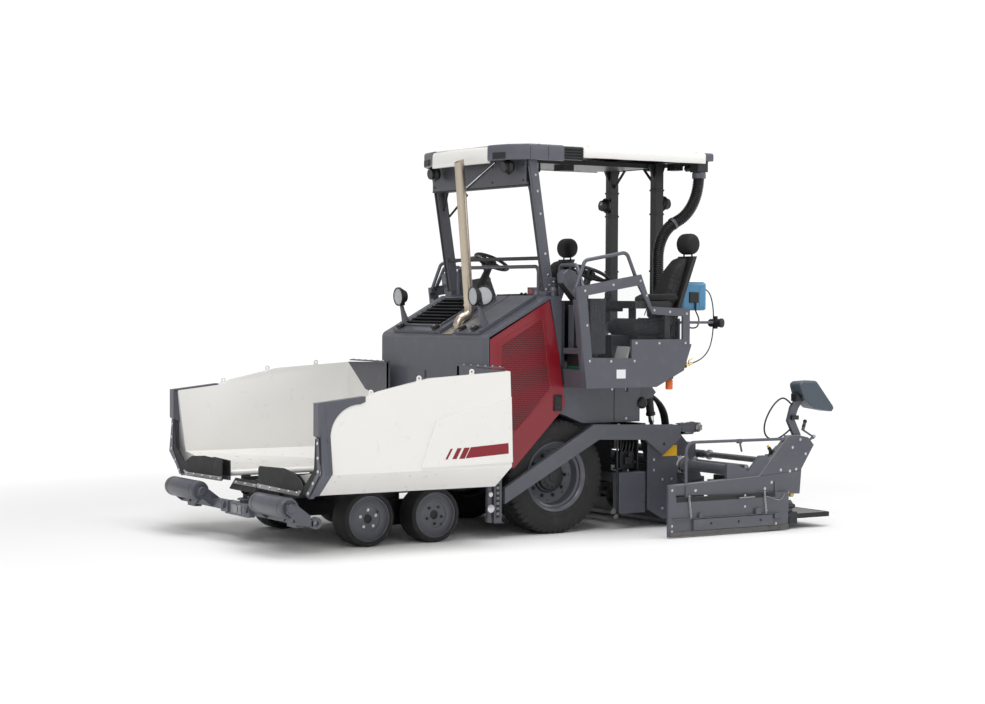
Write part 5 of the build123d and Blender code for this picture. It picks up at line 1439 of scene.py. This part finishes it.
def augers():
    # flight: a helicoid strip, its section a thin four-sided loop carried along the angle
    a = auger
    t = np.linspace(0, 1, 150)
    angle = 2 * math.pi * (a["high"] - a["low"] - a["thick"]) / a["pitch"] * t
    y = a["low"] + a["thick"] / 2 + (a["high"] - a["low"] - a["thick"]) * t
    corner = [(a["inner"], -0.5), (a["outer"], -0.35), (a["outer"], 0.35), (a["inner"], 0.5)]
    r = np.array([c[0] for c in corner])
    lift = np.array([c[1] * a["thick"] for c in corner])
    for side, sign in sides.items():
        points = np.stack([a["x"] + r[None] * np.cos(angle)[:, None],
                           np.broadcast_to(sign * (y[:, None] + lift[None]), (150, 4)),
                           a["z"] + r[None] * np.sin(angle)[:, None]], axis=2).reshape(-1, 3)
        flight = (points, gridFaces(150, 4, wrapCols=True) + [(0, 1, 2, 3), (596, 597, 598, 599)])
        shaft = lathe([(0, sign * 0.0705), (0.038, sign * 0.0705), (0.038, sign * 0.8495),
                       (0, sign * 0.8495)], (a["x"], 0, a["z"]), (0, 1, 0), 32)
        piece = makeMesh(f"auger_{side}Flights", *joined(shaft, flight), wornSteel, f"auger_{side}")
        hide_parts(f"auger_{side}")


def chain(top, bottom, links):
    # oval links, each turned a quarter against the last
    top, bottom = np.array(top), np.array(bottom)
    parts = []
    t = np.arange(17) * 2 * math.pi / 16
    up = np.array([0, 0, 1.0])
    for k in range(links):
        centre = top + (bottom - top) * (k + 0.5) / links
        reach = np.linalg.norm(bottom - top) / links * 0.66
        across = np.array([1.0, 0, 0]) if k % 2 else np.array([0, 1.0, 0])
        loop = centre + np.cos(t)[:, None] * 0.0085 * across + np.sin(t)[:, None] * reach * up
        parts.append(pipe(loop, 0.0028, 6))
    return joined(*parts)


# axes of the guides, and bodies for bothSides, which fills in the side
guides = (-1.4, 0, 0.58), (-1.78, 0, 0.655), (-1.6, 0, 0.6)
ext, gate = "extension_{side}", "end_gate_{side}"


def guideParts():
    # steel collars where the guides leave the screed, with their bolts, and the thin middle rod
    main, rear, middle = guides
    ringed = closedLathe([(0.053, 0.94), (0.053, 0.975), (0.07, 0.975), (0.079, 0.97), (0.079, 0.953),
                          (0.09, 0.9525), (0.09, 0.94)], main, (0, 1, 0), 44)
    bothSides("guideFlange", ringed, brightSteel, "screed")
    bothSides("flangeBolts", ringOfBolts((-1.4, 0.9525, 0.58), (0, 1, 0), 0.0845, 8, 0.005, 0.005),
              darkPaint, "screed")
    collars = [closedLathe([(0.052, 0.8752), (0.078, 0.8752), (0.08, 0.882), (0.08, 0.898), (0.07, 0.912),
                            (0.063, 0.915), (0.063, 0.93), (0.052, 0.932)], main, (0, 1, 0), 44),
               closedLathe([(0.03, 0.8752), (0.048, 0.8752), (0.048, 0.895), (0.03, 0.897)], rear,
                           (0, 1, 0), 32),
               closedLathe([(0.0235, 0.8752), (0.044, 0.8752), (0.046, 0.885), (0.038, 0.905),
                            (0.0235, 0.907)], middle, (0, 1, 0), 32)]
    bothSides("guideCollars", joined(*collars), brightSteel, "screed")
    ring = ringOfBolts((-1.4, 0.898, 0.58), (0, 1, 0), 0.071, 6, 0.006, 0.006)
    bothSides("collarBolts", ring, darkPaint, "screed")
    bothSides("middleRod", rod((-1.6, 0.8, 0.6), (-1.6, 1.66, 0.6), 0.0225, 24), bareSteel, ext)


def screedFittings():
    # heater boxes, junction plates and hoses on the screed's back, below its tread plate
    boxes = joined(block((-1.69, -1.51), (0.3, 0.56), (0.64, 0.8)),
                   block((-1.7, -1.56), (0.64, 0.78), (0.64, 0.77)),
                   block((-1.35, -1.29), (0.25, 0.62), (0.4, 0.56)))
    bothSides("heaterBoxes", boxes, greyPaint, "screed", bevel=0.005)
    plates = joined(block((-1.51, -1.5), (0.6, 0.78), (0.66, 0.79)),
                    block((-1.688, -1.512), (0.302, 0.558), (0.8, 0.803)))
    bothSides("heaterPlates", plates, bareSteel, "screed", bevel=0.001)
    hoses = [pipe(smoothPath([(-1.505, 0.32 + 0.07 * k, 0.72), (-1.46, 0.34 + 0.07 * k, 0.74),
                              (-1.4, 0.4 + 0.07 * k, 0.76), (-1.46, 0.5 + 0.05 * k, 0.74),
                              (-1.555, 0.6 + 0.05 * k, 0.7)]), 0.011, 10) for k in range(4)]
    bothSides("screedHoses", joined(*hoses), hoseRubber, "screed", angle=60)
    tread = block((-1.698, -1.402), (0.002, 0.738), (0.8605, 0.8625))
    bothSides("screedTread", tread, treadPlate, "screed")


def extensionHousing():
    # dark housing with its lines, and a black strip along the gate as painted shade in the gap under the
    # carrier
    housing = joined(block((-2.07, -1.8), (0.92, 1.63), (0.3, 0.47)),
                     block((-2.05, -1.9), (1.0, 1.3), (0.47, 0.54)),
                     block((-1.96, -1.83), (1.36, 1.56), (0.47, 0.52)))
    bothSides("extensionTop", housing, darkPaint, ext, bevel=0.006)
    lines = [pipe(smoothPath([(-1.84 - 0.04 * k, 0.95, 0.485), (-1.86 - 0.04 * k, 1.1, 0.5),
                              (-1.84 - 0.03 * k, 1.3, 0.49), (-1.87 - 0.03 * k, 1.5, 0.53),
                              (-1.93, 1.6, 0.6)]), 0.01, 10) for k in range(3)]
    bothSides("extensionLines", joined(*lines), hoseRubber, ext, angle=60)
    # black strip: painted shade of the gap between the gate's top and the carrier
    band = block((-1.89, -0.74), (1.7248, 1.7256), (0.318, 0.3595))
    bothSides("gatePaintedShadeBand", band, blackPlastic, gate)


def carrierParts():
    # bolts of the carrier, seam of the tower plate, edge flange in a lighter grey as a painted highlight, and
    # cable gland
    spots = [(-2.215, 0.835), (-2.12, 0.765), (-2.165, 0.56), (-2.09, 0.545), (-1.98, 0.56), (-1.87, 0.45),
             (-1.79, 0.395), (-0.98, 0.415), (-0.735, 0.42), (-2.28, 0.7)]
    sideBolts("carrierBolts", spots, 1.695, brightSteel, ext, 0.0095, 0.0025)
    seam = prism([(-1.735, 0.512), (-2.225, 0.545), (-2.225, 0.549), (-1.735, 0.516)], 1.694, 1.6952)
    bothSides("towerSeam", seam, blackPlastic, ext, smooth=False)
    # the flange's lighter grey is a painted highlight along the plate's edge
    flange = prism([(-0.7, 0.465), (-0.86, 0.472), (-1.72, 0.51), (-2.07, 0.87), (-2.21, 0.872),
                    (-2.21, 0.878), (-2.068, 0.876), (-1.717, 0.516), (-0.86, 0.478), (-0.7, 0.471)], 1.64,
                    1.6948)
    bothSides("carrierFlangeHighlight", flange, markAndHighlightGrey, ext, smooth=False)
    gland = joined(rod((-1.905, 1.64, 0.735), (-1.88, 1.64, 0.765), 0.017, 16),
                   block((-1.93, -1.895), (1.62, 1.66), (0.7, 0.74)),
                   rod((-2.152, 1.64, 1.16), (-2.165, 1.64, 1.152), 0.014, 14))
    bothSides("cableGland", gland, blackPlastic, ext)
    ring = rod((-1.872, 1.64, 0.775), (-1.866, 1.64, 0.783), 0.0125, 14)
    bothSides("cableRing", ring, yellowPaint, ext)


def controlTablet():
    # rounded shell over the plain form, dark screen, clamp, crank and the rail's clips
    shell = prism([(-2.188, 1.338), (-2.2, 1.362), (-2.228, 1.376), (-2.366, 1.382), (-2.392, 1.374),
                   (-2.596, 1.14), (-2.599, 1.112), (-2.572, 1.087), (-2.352, 1.124), (-2.226, 1.232)],
                   1.5565, 1.7235)
    bothSides("tabletShell", shell, tabletGrey, ext, bevel=0.016)
    screen = prism([(-2.395, 1.362), (-2.578, 1.152), (-2.586, 1.159), (-2.403, 1.37)], 1.575, 1.705)
    bothSides("tabletScreen", screen, screenGlass, ext, bevel=0.002)
    stays = joined(block((-2.26, -2.175), (1.6, 1.68), (1.19, 1.262)),
                   rod((-2.225, 1.56, 1.245), (-2.225, 1.72, 1.245), 0.012, 14),
                   block((-2.2, -2.12), (1.648, 1.69), (1.02, 1.06)))
    bothSides("tabletStays", stays, darkPaint, ext, bevel=0.003)
    knob = lathe([(0, -0.04), (0.012, -0.038), (0.017, -0.02), (0.014, 0.01), (0.02, 0.03), (0.014, 0.044),
                  (0, 0.048)], (-2.294, 1.655, 0.972), (-0.32, 0, 0.94), 22)
    bothSides("crankKnob", knob, blackPlastic, ext)
    nut = joined(rod((-2.33, 1.655, 0.806), (-2.352, 1.655, 0.818), 0.026, 6),
                 rod((-2.402, 1.655, 0.845), (-2.424, 1.655, 0.858), 0.019, 18))
    bothSides("crankNut", nut, brightSteel, ext)
    feet = joined(block((-1.52, -1.47), (1.668, 1.692), (0.822, 0.862)),
                  rod((-1.5, 1.68, 0.835), (-1.53, 1.672, 0.745), 0.01, 10),
                  rod((-0.88, 1.68, 0.7), (-0.88, 1.68, 0.72), 0.021, 16))
    bothSides("railClips", feet, greyPaint, ext)


def walkway():
    # tread sheet, black edges and hinge plates
    bothSides("walkTread", block((-2.59, -2.1), (0.902, 1.663), (0.1352, 0.1372)), treadPlate, ext)
    edge = joined(block((-2.599, -2.097), (1.664, 1.672), (0.095, 0.14)),
                  block((-2.5995, -2.59), (0.9, 1.665), (0.1, 0.14)))
    bothSides("walkEdge", edge, blackPlastic, ext, bevel=0.002)
    hinges = [prism([(-2.09, 0.08), (-2.09, 0.21), (-2.12, 0.26), (-2.15, 0.27), (-2.175, 0.24),
                     (-2.17, 0.08)], v, v + 0.012) for v in (1.63, 1.3, 0.94)]
    bothSides("walkHinges", joined(*hinges), greyPaint, ext, bevel=0.003)


def cornerFittings():
    # couplers, and a dark block with two small cylinders, at the rear corner
    fit = joined(rod((-2.14, 1.66, 0.3), (-2.14, 1.66, 0.415), 0.02, 18),
                 rod((-2.14, 1.66, 0.31), (-2.14, 1.66, 0.34), 0.026, 6),
                 rod((-2.07, 1.69, 0.33), (-2.07, 1.69, 0.36), 0.014, 6))
    bothSides("couplers", fit, brass, ext)
    low = joined(block((-2.19, -2.09), (1.6, 1.69), (0.05, 0.16)),
                 rod((-2.1, 1.64, 0.21), (-2.19, 1.64, 0.21), 0.022, 18),
                 rod((-2.06, 1.68, 0.13), (-2.16, 1.68, 0.13), 0.012, 12))
    bothSides("cornerBlock", low, darkPaint, ext, bevel=0.004)


def gateParts():
    # shelf, brackets, lower skid, handle, bolts, chains and wire
    shelf = joined(block((-1.86, -0.7), (1.724, 1.748), (0.166, 0.173)),
                   block((-1.02, -0.985), (1.724, 1.752), (0.173, 0.215)),
                   block((-1.7, -1.64), (1.724, 1.752), (0.173, 0.225)),
                   block((-1.96, -1.87), (1.724, 1.745), (0.12, 0.17)))
    bothSides("gateShelf", shelf, greyPaint, gate, bevel=0.002)
    skid = prism([(-2.05, 0.013), (-2.03, 0.0105), (-0.7, 0.0105), (-0.665, 0.03), (-0.665, 0.055),
                  (-2.05, 0.055)], 1.724, 1.734)
    bothSides("gateSkid", skid, wornSteel, gate, bevel=0.001)
    grip = joined(rod((-1.44, 1.752, 0.33), (-1.62, 1.752, 0.332), 0.0065, 12),
                  rod((-1.45, 1.724, 0.33), (-1.45, 1.752, 0.33), 0.006, 10),
                  rod((-1.61, 1.724, 0.332), (-1.61, 1.752, 0.332), 0.006, 10))
    bothSides("gateHandle", grip, bareSteel, gate)
    dark = [(-1.12, 0.115), (-1.44, 0.115), (-1.7, 0.115)]
    sideBolts("skidBolts", dark, 1.7505, darkPaint, gate, 0.008, 0.004)
    bright = [(-1.53, 0.245), (-1.53, 0.345), (-1.14, 0.04), (-1.5, 0.04), (-1.9, 0.07), (-0.692, 0.43),
              (-0.692, 0.06), (-0.692, 0.11)]
    sideBolts("gateBolts", bright, 1.725, brightSteel, gate, 0.008, 0.005)
    for side, sign in sides.items():
        y, ends = sign * 1.737, (sign * 1.726, sign * 1.744)
        hung = [chain((x, y, 0.372), (x - 0.025, y, 0.178), 8) for x in (-0.875, -1.75)]
        pins = [rod((x, ends[0], 0.372), (x, ends[1], 0.372), 0.008, 12) for x in (-0.875, -1.75)]
        makeMesh(f"gateChains_{side}", *joined(*hung, *pins), brightSteel, f"end_gate_{side}")
    wire = pipe(smoothPath([(-1.76, 1.738, 0.33), (-1.82, 1.74, 0.318), (-1.9, 1.74, 0.29),
                            (-1.96, 1.74, 0.3), (-1.99, 1.738, 0.345)]), 0.0032, 8)
    bothSides("gateWire", wire, bareSteel, gate)


def towArmParts():
    # bolts, plate, pin, cap and pointer on the tow arm and the apron
    spots = [(-1.06, 0.64), (-1.06, 0.54), (-1.16, 0.45), (-1.27, 0.45), (-1.16, 0.18), (-1.29, 0.24),
             (-1.29, 0.17)]
    sideBolts("apronBolts", spots, 0.967, brightSteel, "screed", 0.01, 0.007)
    plate = prism([(-1.15, 0.668), (-1.325, 0.668), (-1.325, 0.768), (-1.235, 0.768)], 0.9672, 0.969)
    bothSides("yellowPlate", plate, yellowPaint, "screed", smooth=False)
    # black disc: painted shade in the arm's hole
    hole = rod((-1.15, 1.0002, 0.785), (-1.15, 1.0012, 0.785), 0.015, 22)
    bothSides("armHolePaintedShade", hole, blackPlastic, "screed")
    pin = lathe([(0, -0.012), (0.02, -0.012), (0.034, -0.01), (0.036, 0.01), (0.03, 0.014), (0.016, 0.016),
                 (0, 0.016)], (-1.55, 1.004, 0.93), (0, 1, 0), 30)
    top = joined(block((-1.33, -1.58), (0.94, 1.006), (0.966, 0.974)),
                 block((-1.42, -1.36), (1.0, 1.006), (0.89, 0.94)))
    bothSides("armPin", pin, bareSteel, "screed")
    bothSides("armCap", top, greyPaint, "screed", bevel=0.002)
    heads = bolts([(-0.64, 0.977, 0.9805), (-1.38, 0.975, 0.974), (-1.45, 0.975, 0.974)], (0, 0, 1), 0.01,
                  0.007)
    bothSides("armBolts", heads, brightSteel, "screed")
    pointer = joined(rod((-1.335, 0.972, 0.29), (-1.4, 0.985, 0.33), 0.007, 10),
                     rod((-1.34, 0.967, 0.285), (-1.34, 0.98, 0.285), 0.014, 14))
    bothSides("screedPointer", pointer, brightSteel, "screed")


def towColumns():
    # tow column: scale with its marks, end plates and the levelling cylinder
    scale = block((0.664, 0.7), (0.985, 0.9885), (0.19, 0.56))
    bothSides("columnScale", scale, blackPlastic, "tractor")
    marks = joined(*[block((0.668, 0.696), (0.9884, 0.9895),
                           (z, z + 0.022)) for z in np.arange(0.215, 0.55, 0.046)])
    bothSides("scaleMarks", marks, markAndHighlightGrey, "tractor")
    level = joined(rod((0.745, 0.94, 0.18), (0.745, 0.94, 0.43), 0.0285, 26),
                   rod((0.745, 0.94, 0.15), (0.745, 0.94, 0.18), 0.034, 26))
    bothSides("levelBarrel", level, greyPaint, "tractor")
    ends = joined(lathe([(0, 0), (0.034, 0), (0.038, 0.006), (0.036, 0.02), (0.02, 0.024), (0, 0.024)],
                        (0.752, 0.968, 0.275), (0, 1, 0), 30),
                  lathe([(0, 0), (0.022, 0), (0.022, 0.018), (0, 0.02)], (0.752, 0.965, 0.4), (0, 1, 0),
                        22),
                  rod((0.745, 0.94, 0.43), (0.745, 0.94, 0.575), 0.015, 18))
    bothSides("levelEnds", ends, brightSteel, "tractor")
    foot = joined(block((0.622, 0.722), (0.895, 0.992), (0.142, 0.152)),
                  block((0.622, 0.722), (0.895, 0.992), (0.598, 0.606)))
    bothSides("columnPlates", foot, greyPaint, "tractor", bevel=0.002)


def stowageParts():
    # door, stay and clamp of the stowage box, and the valve block with its hoses
    door = block((-0.976, -0.684), (0.9445, 0.949), (0.156, 0.524))
    bothSides("stowageDoor", door, greyPaint, "tractor", bevel=0.006)
    stay = joined(rod((-0.662, 0.93, 0.12), (-0.662, 0.93, 0.86), 0.009, 12),
                  block((-0.69, -0.65), (0.88, 0.945), (0.13, 0.146)),
                  block((-0.69, -0.65), (0.88, 0.945), (0.56, 0.576)))
    bothSides("stowageStay", stay, darkPaint, "tractor")
    clamp = joined(rod((-0.61, 0.93, 0.18), (-0.61, 0.952, 0.18), 0.026, 22),
                   rod((-0.64, 0.93, 0.13), (-0.64, 0.95, 0.13), 0.02, 20))
    bothSides("stowageClamp", clamp, bareSteel, "tractor")
    for side, sign in sides.items():
        def y(v):
            return sign * v
        valve = joined(block((-0.9, -0.74), (y(0.78), y(0.87)), (0.56, 0.72)),
                       block((-0.86, -0.78), (y(0.87), y(0.9)), (0.6, 0.67)),
                       rod((-0.82, y(0.87), 0.69), (-0.82, y(0.925), 0.69), 0.02, 18),
                       rod((-0.88, y(0.87), 0.62), (-0.88, y(0.915), 0.62), 0.014, 6),
                       rod((-0.76, y(0.85), 0.72), (-0.76, y(0.85), 0.84), 0.012, 10),
                       block((-0.93, -0.915), (y(0.6), y(0.9)), (0.54, 0.9)))
        makeMesh(f"valveBlock_{side}", *valve, darkPaint, "tractor", bevel=0.004)
    hoses = [pipe(smoothPath([(-0.76 - 0.04 * k, 0.862, 0.715), (-0.77 - 0.04 * k, 0.87, 0.79),
                              (-0.8 - 0.03 * k, 0.84, 0.85), (-0.84 - 0.02 * k, 0.78, 0.88)]), 0.01,
                              10) for k in range(4)]
    bothSides("valveHoses", joined(*hoses), hoseRubber, "tractor", angle=60)


lift = {"y": 0.75, "top": (-1.15, 1.26), "eye": (-1.24, 0.6)}


def liftParts():
    barrels, sleeves = [], []
    # barrel with its gland, a bright sleeve on the rod, and guarded hoses
    for side, sign in sides.items():
        def y(v):
            return sign * v
        top, eye = (np.array([lift[end][0], y(lift["y"]), lift[end][1]]) for end in ("top", "eye"))
        along = (eye - top) / np.linalg.norm(eye - top)
        # barrel open from below, its gland, then a bright sleeve round the rod
        barrels.append(lathe([(0, -0.015), (0.038, -0.015), (0.038, 0.192), (0.045, 0.194), (0.045, 0.22),
                              (0.037, 0.226), (0.0275, 0.226), (0.0275, 0.002), (0, 0.002)], top, along,
                              36))
        barrels += [rod(top + np.array([0, end * 0.03, 0]), top + np.array([0, end * 0.04, 0]), 0.034,
                        24) for end in (-1, 1)]
        barrels.append(rod(top + along * 0.06 + np.array([-0.031, 0, 0.006]),
                           top + along * 0.06 + np.array([-0.056, 0, 0.01]), 0.012, 12))
        sleeves.append(closedLathe([(0.024, 0.2), (0.0268, 0.2), (0.0268, 0.288), (0.024, 0.29)], top,
                                   along, 30))
        hoses = []
        for k in (-0.6, 0.5, 1.6):
            path = smoothPath([(-0.96, y(0.7 + 0.03 * k), 1.215), (-1.06, y(0.7 + 0.03 * k), 1.232),
                               (-1.17, y(0.7 + 0.03 * k), 1.232),
                               (-1.29, y(0.697 + 0.03 * k), 1.17 - 0.01 * k),
                               (-1.362, y(0.695 + 0.03 * k), 1.05), (-1.392, y(0.695 + 0.03 * k), 0.9)], 12)
            hoses.append(pipe(path, [0.0165 + 0.002 * (i % 2) for i in range(len(path))], 12))
        piece = makeMesh(f"liftLines_{side}", *joined(*hoses), hoseRubber, None, angle=60)
        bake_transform(piece)
    piece = makeMesh("liftBarrels", *joined(*barrels), blackPlastic, "lift_barrels")
    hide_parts("lift_barrels")
    makeMesh("liftSleeves", *joined(*sleeves), rodChrome, "lift_barrels")


wornSteel = newMaterial("wornSteel", (0.16, 0.155, 0.15), 0.42, metal=0.85, grain=0.04,
                        second=(0.07, 0.05, 0.04), secondMix=0.5)
# lighter grey: the scale's own marks, and a painted highlight on the carrier's edge flange
markAndHighlightGrey = newMaterial("markAndHighlightGrey", (0.2, 0.205, 0.225), 0.38, coat=0.2, grain=0.01)
yellowPaint = newMaterial("yellowPaint", (0.8, 0.46, 0.01), 0.4, grain=0, mottle=0.02)
tabletGrey = newMaterial("tabletGrey", (0.06, 0.08, 0.105), 0.42, coat=0.2, grain=0.03)
screenGlass = newMaterial("screenGlass", (0.01, 0.012, 0.016), 0.08, grain=0, coat=0.8)
steelwork()
augers()
guideParts()
screedFittings()
extensionHousing()
carrierParts()
controlTablet()
walkway()
cornerFittings()
gateParts()
towArmParts()
towColumns()
stowageParts()
liftParts()
print("screed made")
